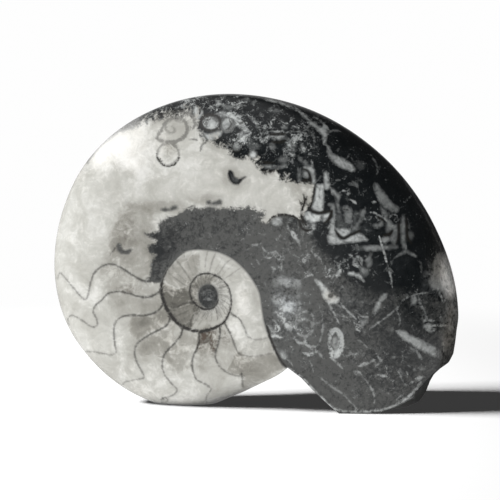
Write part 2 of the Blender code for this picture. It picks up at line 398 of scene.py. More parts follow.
# Sutures thin out and fade from the seam to the rim, the last ones more. The first FROM_SEAM start at the rim.
SUTURE_WIDTHS = (1.3, 2.2)
SUTURE_TONES = (0.46, 0.84)
FAINT_TONES = (0.22, 0.80)
FROM_SEAM = 6
FIRST_FAINT = 8

# The seam between the whorls, from outside in, with its half width at each point.
SEAM = (
    (184, 252.6, 0.3), (178, 256.4, 0.5), (171, 264.6, 0.7), (165, 273.7, 0.9), (161.8, 283.5, 1.3),
    (161.8, 293.3, 1.5), (164.3, 303.1, 1.6), (169.8, 313.7, 1.7), (176.7, 322.2, 1.7), (185.1, 327.8, 1.6),
    (197.7, 331.4, 1.5), (207.5, 330.2, 1.4), (216.6, 327, 1.2), (223.7, 322.4, 1.0), (227.9, 315.8, 0.8),
    (230.7, 308, 0.7), (231.2, 299.6, 0.7), (229.1, 289.1, 0.7), (223.7, 281, 0.7), (216.6, 276, 0.75),
    (207.5, 273.5, 0.75), (199.1, 275.1, 0.7), (193.3, 280, 0.7), (190, 287.7, 0.7), (190.8, 296.1, 0.8),
    (194.3, 302.8, 1.0), (200, 307.6, 1.2), (207.5, 309.2, 1.2), (214.6, 306.4, 1.0), (218.4, 300, 0.9))

# Pale shell pieces in the black limestone: how pale each is, from 0 to 1, and its outline.
SHELLS = (
    # patches in the dark mottled top
    (0.75, 216,101, 219,100, 221,102, 220.6,105, 217,105.4),
    (0.46, 222,105, 227,104, 231,106, 232,110, 228,111, 224,109),
    (0.55, 235,106.6, 239,103, 241.6,104, 240,107, 237,109),
    (0.85, 194,107, 198,107, 203,112, 200,118, 196,122, 194,116),
    (0.8, 215,113, 222,111.6, 228,112, 234,113, 238,118, 242,122, 247,128, 250,132, 246,133, 241,129, 236,125,
     232.6,119.6, 228,116.6, 220,116),
    (0.8, 200,131, 208,134, 216,132, 222,131, 220,136, 212,140, 204,138),
    (0.55, 240,132, 243.4,130.6, 243,137, 240.6,143, 238.4,141),
    (0.75, 251,117.6, 255,118, 257,122, 259.6,126.6, 257.6,127.6, 254.6,124, 252,120.6),
    (0.3, 269,108, 274,109.4, 280,109, 281,111.6, 275,112.6, 270,111),
    (0.4, 259.6,114, 262,114, 262.8,116, 260,116.4),
    (0.48, 246.6,98, 249,98, 249,100.4, 247,100.6),
    (0.4, 251.6,103, 254.6,100.6, 256,101.6, 253.6,103.8),
    (0.5, 282,126.6, 285.6,126, 288,127.4, 285,128.6, 282,128),
    (0.28, 279.6,119.6, 282,121, 284.6,124, 282.6,124, 280,122),
    (0.24, 270.6,135.6, 277,135, 287,136, 288,139, 280,140, 272,139),
    (0.22, 264,129.6, 267,131, 270,134.6, 268.6,136.6, 265.6,133.6),
    (0.22, 270,143, 275,143.6, 276,148, 273,150, 270,149),
    (0.14, 286.6,141.6, 295,141.6, 297,146, 295,152, 290,153, 287,149),
    (0.56, 290.6,154.4, 294,153.8, 295,156, 292,157),
    (0.16, 278,157.6, 286,156, 290,160, 284,163, 279,162),
    (0.38, 298,155, 301,157, 302.6,161, 300.6,162.6, 298,159.6),
    (0.28, 303,161, 307,161, 308,165.6, 304.6,167),
    (0.24, 264,165.6, 270,164, 277,166.6, 284,164, 288,165, 282,168.6, 274,169, 266,168.6),
    (0.14, 246,141, 250,140, 256,143, 262,146, 258,149, 251,149.6, 247,146),
    (0.2, 300,143, 304,145, 306,151, 303,153, 300,149),
    (0.24, 231.4,175, 234.6,177.4, 238.4,180.2, 236,182.6, 232.4,180.6),
    # the vein and the two crescents near the rim
    (0.8, 300,112.5, 303,112.6, 308,117.4, 313.5,122.6, 319,127, 322,126, 326.6,125.8, 327.4,131, 326.6,137,
     325.4,143.6, 323.4,144, 322,137, 319.4,132, 313,125.4, 306,119.6),
    (0.72, 327.1,145.7, 329.3,147.1, 332.1,152.9, 337.1,155.8, 342.9,158.4, 347.1,161, 351.4,163.6, 354.3,167.1,
     355.7,170.7, 351.4,171.7, 345.7,169.3, 340,167.1, 335,163.6, 330,158.6, 327.1,152.9),
    (0.12, 355.7,162, 360,160.6, 364.6,163, 364.3,168.6, 359,169.6, 356,167),
    (0.4, 373.4,184.6, 375,182.8, 377.2,183.4, 379.4,186.4, 382.4,190, 385.8,194, 388.6,198.6, 392,202.6, 395.4,205.4,
     398.8,207.6, 398.4,211.2, 394,212.2, 389.6,210.6, 384.6,207.2, 380.2,202.6, 376.6,196.4, 374.2,190.4),
    # rods and blocks at the end of the white body
    (0.9, 316.4,185, 323.2,184.6, 323.6,192, 323.4,202, 322.8,210.4, 319,211.4, 315,210.6, 311.6,208.6, 313.2,203,
     314.6,196, 315.8,190),
    (0.66, 324.2,172.6, 327.4,172.4, 328.6,180, 329.4,188.6, 325.2,189.6, 324,181),
    (0.56, 304.6,165.6, 309.6,165.8, 313.6,169, 315.4,174, 315.6,183, 312.6,183.6, 311.6,178, 309.8,173, 306.6,169.6,
     303.4,168.4),
    (0.46, 303.4,171.6, 306.6,170.8, 308.6,174, 308.4,177.6, 305.4,178, 303.4,175),
    (0.34, 298.6,168, 301,168.4, 300.6,174, 300.4,181, 298,181, 297.6,174),
    (1.0, 304.6,213.4, 308.6,211.8, 312.6,213.2, 318,214.4, 321.4,214.6, 320.6,218.6, 318,221.2, 313,222.6, 308,221.4,
     304.8,218.6),
    (0.8, 322.4,214.4, 326,213.8, 329.6,212.6, 329,217, 326.6,221.4, 323.4,221.6, 322.4,218),
    (0.5, 302.4,223, 307,223.6, 309.6,226, 306.6,228.4, 303.4,227.4),
    (0.42, 311,224.6, 315,223, 316.4,226, 314,230, 311.6,229),
    (0.4, 330.6,188, 333,188.6, 335.6,191.4, 338.4,193.4, 341.4,194.6, 340,198, 339.6,205, 340.2,213, 338,213.8,
     336.4,207, 335.4,200, 333.6,195, 331,191),
    (0.42, 328.4,203.6, 333.6,203.4, 335.2,209, 335.8,216, 333.6,219, 332.6,212, 330,207),
    (0.76, 331,219.6, 334.4,218, 335.2,223, 334.6,229, 336,233, 333,236, 329.4,233, 328.8,226),
    (0.84, 327.6,236.6, 331,233.6, 334.4,232.6, 337.6,237, 341,239.4, 345,239.6, 351,236.6, 358,233.2, 361.6,233.6,
     365,236.6, 368,240.2, 360,241.4, 352,242.2, 342,243.6, 334,244.2, 328.6,243.8),
    (0.7, 335.8,228.8, 340,228.4, 346,228.8, 350,227.8, 351,231, 348,234.4, 344.4,237, 341.4,236.4, 338,233),
    (0.26, 351,231, 350.4,227.4, 354,224.6, 357.4,221.4, 359.4,217.6, 359.6,211.6, 362.6,209.4, 365.6,211, 364.2,216,
     362.4,220, 361,224.6, 359.4,229.4, 354,231.4),
    (0.3, 342,206.6, 347,205.8, 350.6,207.6, 352.4,212, 352.2,220, 350,224, 346.4,222.6, 343.6,218, 344.2,212,
     342,209),
    (0.1, 335.6,215, 342,214, 343.4,221, 349,226, 342,227.8, 336.4,226.6),
    (0.09, 353.4,212, 358,211.4, 358.4,218, 355.4,223, 352.8,221),
    (0.2, 380.4,204.6, 383,208, 387,211.4, 389.6,213, 388.6,217, 385,216, 382,213, 380.6,209),
    (0.36, 380,219.4, 383,221.4, 382.4,226.6, 378.4,228.4, 373.6,227.6, 373.8,223.6, 377.6,223.4, 380.2,222),
    (0.32, 384.6,212.6, 387,214.6, 388.6,218.6, 391.6,222.6, 392.4,228, 388,232.8, 385,231.4, 386.4,226.6, 385.4,220.6,
     383.6,216),
    (0.34, 390.6,221.6, 394,224.6, 397.2,224.4, 398.2,231, 397.6,238, 395.4,244.2, 391.4,241.8, 389.6,238.6, 391,236,
     393,231, 390.4,226),
    (0.5, 381.4,240.6, 382,237.8, 386,236.6, 389.6,237, 390,240.6, 387.6,241.2, 384.4,243.4),
    (0.38, 402.6,213.6, 404.4,217, 405.6,223, 405.8,232, 405.4,240, 406,247.6, 402.4,247.4, 401,238, 400.2,228,
     401,220),
    (0.16, 407.6,232, 411.6,231, 414,234.6, 412.4,240, 409.4,240.6, 407.8,237),
    (0.42, 362,246.6, 370,245.6, 380,245.2, 388,245.4, 388.6,248.4, 381,250.8, 372,251.4, 364,250),
    (0.16, 353,246.6, 363,246, 363,250.2, 355,249.6),
    (0.18, 387,245.2, 397.6,245.6, 396.6,249, 387.6,250),
    (0.42, 396.4,255.8, 400,253.6, 403.4,251, 407.4,250.6, 412.4,252.8, 416.6,256, 414.6,256.8, 410.6,254.6,
     406.6,253.8, 402.6,254.8, 399,256.6),
    (0.24, 372.2,252.6, 371,257.6, 372.4,262, 370,267, 366.4,266.4, 365.2,261, 368,256.4),
    (0.28, 360.4,267.6, 364,267, 368.4,269.6, 368.6,273.6, 364.6,276, 361,272.6),
    (0.95, 348,273.8, 351,272, 355,272, 359,273.6, 362,277, 364.2,281.4, 360,278.6, 354.3,276.2),
    # pale clouds and pieces in the grey limestone
    (0.28, 277,277, 281,275.6, 286,278, 290,283, 290,287.6, 285,288, 281,284, 276,281),
    (0.26, 293,281, 300,279.6, 302,284, 300,290, 294,288.6),
    (0.16, 273,278, 277,281, 279,286, 274,288, 271.6,283),
    (0.22, 270.6,296, 275,293.6, 280,294.6, 281,300, 276,303.6, 271.6,302),
    (0.16, 296,291, 301,292, 300,297, 296,296),
    (0.4, 287,325.6, 291,323, 293.6,326, 291.6,331, 288,329.4),
    # spindle, its bright blob and the streak beside it
    (0.9, 314.6,279.6, 318,279.8, 321.6,282.4, 327.9,289.6, 331.6,293.4, 339.6,298.6, 336,303.2, 328.6,303.4,
     324.1,298.6, 320.4,288.6),
    (0.4, 359.6,320.3, 363,319, 367.8,321.2, 366,324, 362,325.4),
    (0.52, 373.6,313.6, 374.8,306.6, 378.6,300, 382,294.6, 386.6,293.8, 385,298, 380.4,302.6, 378.6,309, 376,314),
    (0.38, 410.7,297.6, 415.9,296.6, 416.6,303, 411.4,304.6),
    # white patch at the right rim
    (0.32, 436,255, 440,252, 446,256, 450,266, 454,278, 457.6,290, 457,298, 452,300, 446,298, 441,291, 434,289,
     429,283, 431,274, 433,265),
    (0.58, 423.4,326, 427,323.6, 431.4,324.4, 432.6,327.2, 429,329.6, 425,328.8),
    # straight shell in the foot, and crinoid ring
    (0.64, 396.7,330.6, 405,331.4, 413.3,336.4, 424,341.6, 435.4,347.4, 435.8,356.9, 431.7,356, 413.3,346,
     401.7,337.8),
    (0.26, 436.6,348.6, 439.6,350, 442,354, 440.8,358.8, 437.4,356),
    (0.66, 330,346, 334,350, 339.6,347.6, 341,352, 337.6,357, 332.6,356.6, 329.6,352),
    (0.44, 332.4,338.6, 336,336.6, 339.6,339.4, 340,345, 337,349, 332.6,347.4),
    (0.3, 268.6,325, 272,327, 275,332.6, 281.8,336, 283.4,338.6, 276,339, 270.6,336.4, 272.4,333),
    (0.38, 276.4,348.6, 283.4,352, 289,358.6, 286,360, 280,355.4),
)

# Pale lines in the limestone: how pale, the width, and the points.
SHELL_LINES = (
    (0.75, 2.4, 266,99.6, 275,101.4, 284,104.2, 295,108.6, 302,113.4),
    (0.55, 1.6, 313,117.8, 319,119.6, 324,124.6, 327,128),
    (0.34, 1.8, 327,134.6, 330,131.6, 335,130.2, 341,131.6),
    (0.3, 1.3, 371,155.4, 374,160, 376.5,165, 377.6,171, 377,174),
    (0.3, 1.0, 405.7,201.6, 408,199, 411.4,195.7),
    (0.36, 1.4, 285.7,133, 293,131, 301,132.2, 308,134, 313,137, 315.4,141.6),
    (0.28, 1.2, 304.3,125.7, 310,130.6, 315.6,137),
    (0.55, 1.8, 271,131.2, 276,131.8, 282,131.2),
    (0.5, 1.8, 271.6,136, 277,137, 283,136.4),
    (0.2, 1.6, 262,165.4, 268,166.6, 275,166),
    (0.55, 1.0, 340,192.2, 342.6,190.8, 344.6,190.6, 346.4,191.8, 348.6,189.6),
    (0.55, 2.6, 347.6,194.2, 349.4,194),
    (0.6, 2.6, 351.6,200.4, 354,201.8, 355.4,203),
    (0.75, 2.6, 373.4,202, 374.6,202.2),
    (0.2, 2.0, 385.6,179.4, 386.8,179.6),
    (0.22, 2.0, 336.6,180.6, 339,180),
    (0.2, 2.6, 349,184, 351,185),
    (0.14, 5.0, 354,183, 357,186),
    (0.12, 4.0, 357,178.6, 361,180),
    (0.6, 1.1, 370.6,212.4, 374.6,213, 378,215, 381.4,216.6, 384.6,218.8, 386.6,221.6),
    (0.36, 1.0, 375.4,215.6, 376.6,218, 379,220.6),
    (0.36, 1.6, 389.6,218, 391,215.4, 394,214.4, 396.6,215.6),
    (0.3, 1.3, 395,219.6, 397.4,218, 398.4,220.4, 396,222),
    (0.16, 1.2, 407.4,219, 409,224, 410,229),
    (0.22, 1.8, 415,255.6, 418.6,259.6, 420.6,264.6, 421.2,272),
    (0.26, 1.4, 405.4,250.4, 406.4,246.8),
    (0.14, 1.4, 396.6,256, 393,259.6, 391.4,264),
    (0.9, 1.5, 379.6,237.4, 381,243, 382.8,248.6, 385,256, 387.2,263.6),
    (0.5, 1.3, 387,263, 388.6,268.6, 390.6,276, 392.2,286.4),
    (0.3, 1.0, 384,270.6, 388,267.6, 393,271.6),
    (0.52, 1.6, 349.6,254.8, 352,256, 353.8,258.4),
    (0.4, 2.2, 353.4,263, 354.4,259, 358,257, 361.6,259.6, 361.8,263.6),
    (0.85, 2.8, 354.6,265.4, 357.6,266, 360.6,264.4),
    (0.3, 2.4, 356,261, 358,262.4),
    (0.62, 3.0, 432.4,326.2, 437,324.9, 441,325.2, 445.4,325),
    (0.4, 2.2, 427,330, 431,331.4, 434.6,330.2),
    (0.44, 1.8, 424.2,321.4, 429,320.4, 434,321.2),
    (0.46, 1.8, 354.6,323, 358.6,325.4, 363.4,326.6),
    (0.44, 1.6, 360,315.6, 363.4,317.2, 366.6,317),
    (0.55, 2.4, 276.4,240, 278.4,238, 280,235.4),
    (0.55, 4.4, 291.4,230, 293.6,235, 297,239.6),
    (0.4, 2.6, 297,239, 299,243.6),
    (0.36, 2.2, 289.6,243, 291.4,246, 292.8,249),
    (0.3, 1.8, 288,226, 290,229.4),
    (0.34, 1.3, 252,244.6, 256,244.8, 260,243.6),
    (0.38, 1.4, 263,248, 266,251.6, 271,253, 276,251.6, 278.6,255.6),
    (0.44, 1.5, 265.6,256.6, 268.6,258.2, 271,257.4),
    (0.46, 1.5, 273,254, 276,257.6, 279,260, 280.6,256.6),
    (0.3, 1.3, 282.6,252, 283.4,258, 281.6,263, 281.6,268),
    (0.4, 1.8, 272.6,268, 276,269.6),
    (0.28, 2.0, 257,261, 258.6,263),
    (0.24, 1.4, 251.6,264, 254,267.6),
    (0.28, 2.4, 302,262, 305,262.6),
    (0.34, 2.6, 312,251.6, 315.6,255, 320,258.6),
    (0.28, 2.0, 299,245, 301,249),
    (0.5, 1.8, 305,277.4, 309,275.6, 313,275),
    (0.36, 1.2, 305,272, 309,271.6),
    (0.38, 1.5, 296,320, 299,314.6, 304,311.6, 309,312, 312.6,315.6, 313.6,320),
    (0.34, 1.5, 291,321.6, 297,320, 302,318.6, 308,320.4, 315,323.6, 319,323),
    (0.8, 2.6, 301.6,318.6, 304.6,319.4),
    (0.3, 1.4, 294,326, 296,331, 300,335, 306,336.6, 311,334, 313,330),
    (0.8, 1.7, 275.4,331, 276,327, 278.6,326.2, 279.6,329.6, 277,332),
    (0.8, 2.4, 270.6,336.4, 276,336.2, 281,337.4),
    (0.34, 1.3, 267,324.6, 270,328.6, 272.6,332),
    (0.38, 1.3, 272.4,319.6, 275,321.6, 276.6,323.4),
    (0.46, 1.5, 328.6,303.4, 333,312, 336,318, 338.8,323.2),
    (0.52, 1.8, 340.7,302.9, 345,309, 350,313.5, 358.8,321.4),
    (0.36, 1.3, 370,328.8, 384.3,318.4, 396,309, 403,301, 410,296.6, 418,294, 427.1,292.4),
    (0.24, 1.1, 396.4,310, 399.8,318, 399.3,326),
    (0.24, 2.0, 418.6,297.1, 421,305, 425,312, 426.4,320.6),
    (0.42, 1.5, 438.4,289.4, 441,296, 443,301.6, 446.6,297.6),
    (0.64, 5.0, 330.4,338, 330.6,334, 333,331, 336.2,330.2, 339.2,332.8, 341,338, 341.4,344, 340.6,350, 338,354.6,
     334.6,355.8, 331.8,353, 330.2,348),
    (0.4, 2.4, 329.8,349, 329,343, 329.6,337),
    (0.34, 2.0, 285,326.9, 289,321.7, 294,323.6),
    (0.3, 1.6, 295.6,330, 298,322, 304,318.6, 310.6,322, 312,329, 308,334.6, 301,335.4),
    (0.56, 2.2, 300,320, 303,318.6, 307,320.2),
    (0.5, 2.6, 295,338.3, 298,342, 301,343.4, 305,341.4),
    (0.48, 2.6, 305.8,344.4, 311.7,347, 318.3,344.5),
    (0.6, 3.0, 304.4,353.4, 309,354.8, 315.4,352.4),
    (0.4, 2.0, 316.7,350, 320,354, 323.6,358.6),
    (0.3, 1.2, 310,361.7, 312,366, 313.3,371.7),
    (0.26, 1.5, 321.7,313.3, 322.8,323, 322.2,332, 320,341.7),
    (0.46, 2.3, 331.7,358.3, 337,362.5, 341.9,367.7),
    (0.32, 1.6, 346.7,346.7, 350.8,351.7),
    (0.32, 1.7, 346.7,355.8, 353,354.5, 360.4,353),
    (0.58, 2.8, 355.6,328, 359.8,331.6),
    (0.22, 1.6, 358.3,340, 363,343, 366.9,347),
    (0.52, 3.6, 360.4,365.7, 364,364.2, 368,363),
    (0.34, 1.7, 368,363.3, 375.4,359),
    (0.38, 2.6, 376.7,354.2, 379,358, 381,361.6, 378,364.4),
    (0.54, 3.0, 378.6,375, 385.6,376.4),
    (0.22, 1.1, 363,375.9, 378.6,375.8),
    (0.44, 3.2, 353.8,371.8, 359.6,372.6),
    (0.36, 1.8, 359,372.2, 366.7,381.7, 373.1,391.7, 374.4,402),
    (0.28, 1.3, 319.2,376.7, 331.7,386.7, 341.7,393.3, 350,401.7, 360.4,412.8),
    (0.5, 4.0, 416.4,378.9, 422.6,377.3),
    (0.42, 3.0, 410.6,383, 413,382.2),
    (0.3, 1.4, 399,371.6, 401.4,378, 404.3,383.6, 407.2,385.2),
    (0.3, 3.4, 410.6,347.9, 416.7,352, 421.2,358.4),
    (0.36, 2.5, 443.2,344.3, 443.8,350.6),
    (0.3, 2.4, 296,301, 300,305, 298,311),
    (0.36, 3.0, 274,297, 280,301, 285,309, 293,312),
    (0.26, 2.4, 279,283, 286,285, 290,281),
    (0.55, 1.8, 304.6,379.4, 311.4,387.6, 324.4,400, 332.6,407.4, 340.6,410.6, 353.3,411.8, 373.3,411, 390,407.6,
     401.7,402.6),
    (0.6, 3.0, 396,404.6, 401,403, 405.6,399.6),
    (0.8, 4.6, 405,400, 410.6,396, 413,393),
    (0.45, 2.6, 413,392.6, 417.6,387.4, 420.6,382),
    (0.4, 2.6, 398,398.6, 402,395.4),
    (0.55, 2.0, 285,367.6, 291,369.8, 298,374.8, 305.2,380),
    (0.1, 1.4, 203.6,299, 204,292.6, 209,289.6, 213.6,293, 213.6,299, 210,303.4),
    (0.12, 1.2, 206.4,297, 209,294.4, 211.4,297, 210.6,300.6),
    (0.55, 1.5, 282,355, 285,359, 289,361, 292,364.6),
    (0.13, 1.8, 404,180, 418,202, 430.6,226, 440.4,248, 448,270, 454,290, 457,308, 457.4,326, 454,343),
)

# Dark lines: how dark, the width, and the points, in the white parts and over the pale shells.
DARK_LINES = (
    (0.75, 1.6, 262,170.8, 269,171.6, 277,170.6),
    (0.92, 1.5, 335.4,230.4, 337.6,233.8, 341,237.4, 344.6,238, 350,235.2, 355.6,232.6, 359.8,230.8),
    (0.9, 2.0, 332,211.4, 330.4,216, 327.6,220.4, 324.6,223),
    (0.8, 2.2, 345.2,209.4, 347,209.8),
    (0.8, 1.4, 377.6,216.6, 380,218.6, 382.6,220),
    (0.9, 2.0, 383.6,235.4, 387,234.8, 390.4,233.6, 392,231.2),
    (0.9, 1.3, 398.8,223, 398.8,232, 398.2,238, 396.6,243),
    (0.85, 1.4, 406.4,219, 406.8,228, 407,235, 408.4,239.6, 411,243),
    (0.95, 3.2, 303.6,180.6, 305.4,180.4, 307.6,180),
    (0.9, 1.3, 303,168.8, 307.4,170.4, 309.8,174.4, 310.6,179, 310.4,183),
    (0.8, 2.2, 205.4,123, 207,120, 209.6,119.4),
    (0.7, 1.8, 214.6,118.8, 216.6,121.4, 215.6,124.4),
    (0.75, 1.8, 229.6,120.6, 231.4,124, 229.4,128, 226.4,129.6),
    (0.9, 1.6, 268.6,221.6, 273,217.2, 280,214.8, 289,215.2, 296,217.8, 300,221),
    (0.95, 2.0, 299.6,221.6, 301.4,226.8, 305.6,230.2, 310.4,230),
    (0.95, 1.8, 310,209.6, 314,212, 319.6,213.2, 325,211.8, 330,211.6),
    (0.95, 1.8, 267,326, 269.4,335, 272.6,344, 276.6,353, 281,361, 286,366.6),
    (0.95, 2.2, 306.6,198, 304,204, 302.4,210, 301.6,216, 303,221, 306,225),
    (0.85, 1.5, 299.6,201, 301.6,205, 303.6,208),
    (0.8, 1.4, 303.4,195, 304.4,200, 306,205),
    (0.6, 1.4, 305.4,200, 308,206, 312,210),
    (0.75, 1.2, 315,185, 313.4,196, 310.4,207),
    (0.5, 3.6, 157,119, 161,115.5, 167,113.6, 172,113.6, 178,110.8, 183,112.4, 188,113.6, 192,115.4, 194,119, 195,124,
     193.4,128),
    (0.46, 3.0, 157.4,137, 160,132, 163,128, 166,122.6, 171,118.8, 177,117.6, 182,119, 186,123, 187.6,128, 186.6,133,
     183,138, 177,141.4, 170,142, 163,141, 158.6,139.6, 157.4,137),
    (0.5, 3.4, 186.6,131, 185.6,135, 182,138.6, 178.4,140.6),
    (0.5, 2.4, 156.8,138.8, 157.6,136),
    (0.32, 2.4, 164,126, 166,130, 170,132.4, 173.4,132, 174.6,129.4, 172.6,127.4),
    (0.26, 2.8, 175,119.6, 178.6,121.4, 181,122.4),
    (0.85, 2.0, 157.2,152, 157.4,157, 160,161.6, 164,164.8, 169,166, 174,164.2, 177.6,160, 179,155),
    (0.42, 3.2, 161,146, 165,143, 171,143, 175.4,145.4),
    (0.6, 2.2, 205,119, 207,123, 205.6,127),
    (0.55, 1.8, 210,117.6, 214,119, 217,122, 215,126),
    (0.95, 3.0, 199.6,109.4, 199.8,113),
    (0.6, 1.8, 201,131.6, 203.6,134.6, 206.4,138.8),
    (0.52, 1.7, 189.6,139.6, 193,139.2, 196.6,140),
    (0.55, 1.8, 200.6,149.6, 201.2,146.4, 204,143.4, 208,141),
    (0.25, 2.0, 212,137.6, 217,139.6, 222,137.2),
    (0.7, 2.0, 238,122, 240,123.4, 243,122),
    (0.8, 1.7, 270,134.2, 278,134, 285,133.8),
    (0.8, 2.2, 271,141.4, 278,142.4, 285,140.6),
    (0.8, 1.8, 263,162, 268,163, 274,162.6),
    (0.5, 1.2, 116,247, 113,250.6, 110.6,254),
    (0.3, 3.0, 172,303, 176,306, 175,309),
    (0.5, 1.6, 170.6,307.4, 176,307.8, 182,304.6, 189,302.8, 194.6,303.2),
    (0.4, 1.3, 200.6,310.6, 193,316, 190.6,322, 190.4,328.6),
)
# Dark rings: how dark, the width, the centre, and the half width and half height.
DARK_RINGS = (
    (0.44, 2.4, 168.1, 154.4, 10.7, 10.9), (0.95, 3.2, 210.6, 122.6, 9.6, 7.8), (0.62, 1.6, 227.6, 124.6, 6.0, 7.0),
    (0.6, 1.6, 236.6, 147, 5.0, 5.0), (0.42, 1.3, 253, 154.6, 4.2, 4.2), (0.85, 2.6, 330.9, 295.7, 1.5, 1.1))
# Pale insides of rings that lie in the limestone.
RING_INSIDES = (
    (0.95, 211.2, 123.2, 9.4, 7.6), (0.8, 227.6, 124.6, 7.0, 8.0), (0.6, 277, 221.6, 5.4, 4.4),
    (0.24, 290.6, 220.2, 2.6, 1.6), (0.5, 236.6, 147, 4.0, 4.0), (0.9, 253, 154.6, 4.0, 4.0),
    (0.55, 208.9, 299.2, 1.5, 1.2))

# Chambers and clouds of greyer calcite with an edge: how grey, and the outline.
CHAMBERS = (
    (0.62, 238,350, 248,356, 262,355, 271,353, 286,364, 275,372, 262,380, 244,389, 242.6,382, 241.7,375.6, 232,374,
     226,370, 231,361),
    (0.22, 249,338, 258,340, 269,338, 273,350, 262,355, 249,356, 241,354, 245,346),
    (2.3, 163,284, 172,288, 178,290, 186,286.6, 190,288, 190.6,296, 194.6,303, 186,304, 176,308, 167,306, 163,296),
    (1.15, 166,306.6, 176,308.4, 187,304, 196,304.6, 199,309, 192,317, 190,329, 180,324.6, 171,316),
    (0.75, 192,282, 198,276.6, 207,275, 214,277, 212,283, 204,285, 198.6,290, 198,299, 202,306, 198,306, 192,298,
     191,289),
    (0.52, 167,272, 176,262, 186,256, 197,253.6, 199,262, 196,274, 191,282, 188,286, 178,288, 165,282),
    (0.24, 99,270, 104,267.4, 112,266.6, 121,269.6, 131,276, 134,281, 134,293, 126,291.6, 114,291, 105,295, 101,284),
    (0.14, 134,279, 146,283, 160,283, 160,291, 152,295, 140,295.4, 134,292),
    (0.2, 108,297, 118,294, 130,295, 143,299, 154,297, 162,294, 162,304, 152,312, 136,314, 120,316, 112,312),
    (0.65, 133,318, 152,316, 163,310, 168.6,314, 166,323, 158,328.6, 146,334, 137,337, 130,330),
    (0.34, 134,203, 146,206, 154,214, 152,226, 146,238, 136,246, 128,246, 116,254, 109,248, 112,234, 120,220, 126,210),
    (0.42, 150,336, 162,331, 172,333, 174,341, 166,350, 160,360, 154,352, 140,356, 137,350, 142,342),
    (0.16, 229,276, 235,274.6, 241,277, 240.6,282.6, 234,284.6, 229.6,281.6),
    (0.2, 239,291, 244,289.4, 249,292.6, 247,298, 241,297),
    (0.34, 183,331, 198,334, 197,345, 192,356, 193,366, 178,372, 166,364, 165,354, 175,344),
    (0.12, 196,330, 226,330, 236,352, 226,372, 216,366, 200,372, 194,356),
    (0.1, 96,352, 114,356, 128,352, 136,366, 128,379, 110,372),
)

# The seam is drawn this much wider. The umbilicus and the whorls within it are outlined by loops.
SEAM_SPREAD = 1.15
UMBILICUS_PIXEL = np.array((208.1, 296.1))
UMBILICUS_LOOP = pairs(BLACK_SPOTS[0])
INNER_LOOP = SEAM[14:25]
WHORL_LOOP = BLACK_ALONG_WHORL[4:] + tuple(point[:2] for point in SEAM[3:14])
# Fine walls between two loops: how many, how far each is swept back in degrees, the faintest and darkest tone,
# the seed, and the angles between which there are none.
SEPTA = ((INNER_LOOP, WHORL_LOOP, 36, -7.0, (0.14, 0.42), 7, (-30.0, 80.0)),
         (UMBILICUS_LOOP, INNER_LOOP, 30, -12.0, (0.30, 0.72), 8, (0.0, 0.0)))

# Soft spots, as centre, half width, half height and amount: where the calcite is greyer, where it's whiter or carries
# painted highlight and bounce light, brown stain, pale haze in the limestone with a faint painted bluish sheen, where
# the limestone's grey and painted reflection give way to deeper black, where the black's edge is broken up into the
# white, and how thickly fine shell hash fills the limestone.
GREY_SPOTS = (
    (180, 362, 52, 22, 0.07), (121, 261, 20, 13, 0.42), (150, 254, 8, 22, 0.6), (160, 207, 16, 6, 0.42),
    (192, 200, 18, 6, 0.22), (206, 200, 7, 5, 0.35), (168, 147, 9, 6, 0.55), (168, 156, 9, 8, 0.16),
    (176, 129, 9, 8, 0.3), (162, 138, 7, 5, 0.3), (236, 178, 10, 8, 0.2), (150, 206, 10, 6, 0.16),
    (247, 366, 14, 8, 0.34), (135, 396, 14, 5, 0.1), (240, 296, 10, 14, 0.08), (300, 197, 13, 17, 0.3),
    (307, 186, 6, 9, 0.25), (304, 210, 6, 6, 0.3), (206, 341, 7, 11, 1.9), (172, 325, 5, 6, 0.4),
    (160, 314, 5, 10, 0.45), (189, 290, 5, 9, 0.5), (180, 301, 8, 4, 0.3), (175, 345, 14, 14, 0.22),
    (194, 294, 5, 14, 0.35), (206, 279, 10, 4, 0.22), (160, 338, 42, 36, 0.24), (128, 264, 24, 22, 0.3),
    (148, 302, 18, 16, 0.16), (238, 352, 10, 12, 0.2), (128, 226, 9, 16, 0.14), (118, 246, 7, 9, 0.16),
    (127, 289, 9, 4, 0.16), (145, 324, 9, 6, 0.2), (152, 306, 7, 5, 0.2), (122, 303, 5, 4, 0.2), (97, 305, 4, 8, 0.12),
    (133, 262, 7, 5, 0.16), (109, 287, 8, 3, 0.1), (174, 300, 6, 6, 0.16), (186, 293, 5, 5, 0.14),
    (195, 319, 7, 6, 0.22), (222, 290, 5, 13, 0.12), (205, 318, 9, 8, 0.12), (238, 362, 6, 9, 0.22),
    (262, 366, 8, 6, 0.1), (201, 367, 3, 3, 0.22), (170, 361, 4, 4, 0.16), (167, 341, 3.4, 4, 0.22),
    (146, 347, 4, 5, 0.2), (187, 402, 18, 4, 0.08), (100, 347, 2.6, 2.4, 0.26), (155, 382, 4, 3, 0.1),
    (205, 346, 8, 12, 0.16), (188, 374, 3, 7, 0.08), (217, 392, 7, 5, 0.08), (160, 372, 3, 8, 0.07),
    (252, 345, 5, 4, 0.12), (110, 262, 4, 6, 0.1), (160, 120, 20, 3, 0.25), (186, 126, 6, 6, 0.22),
    (206, 145, 9, 5, 0.16), (172, 150, 7, 6, 0.12), (228, 142, 7, 5, 0.3), (240, 158, 10, 4, 0.16),
    (245, 190, 14, 6, 0.08))
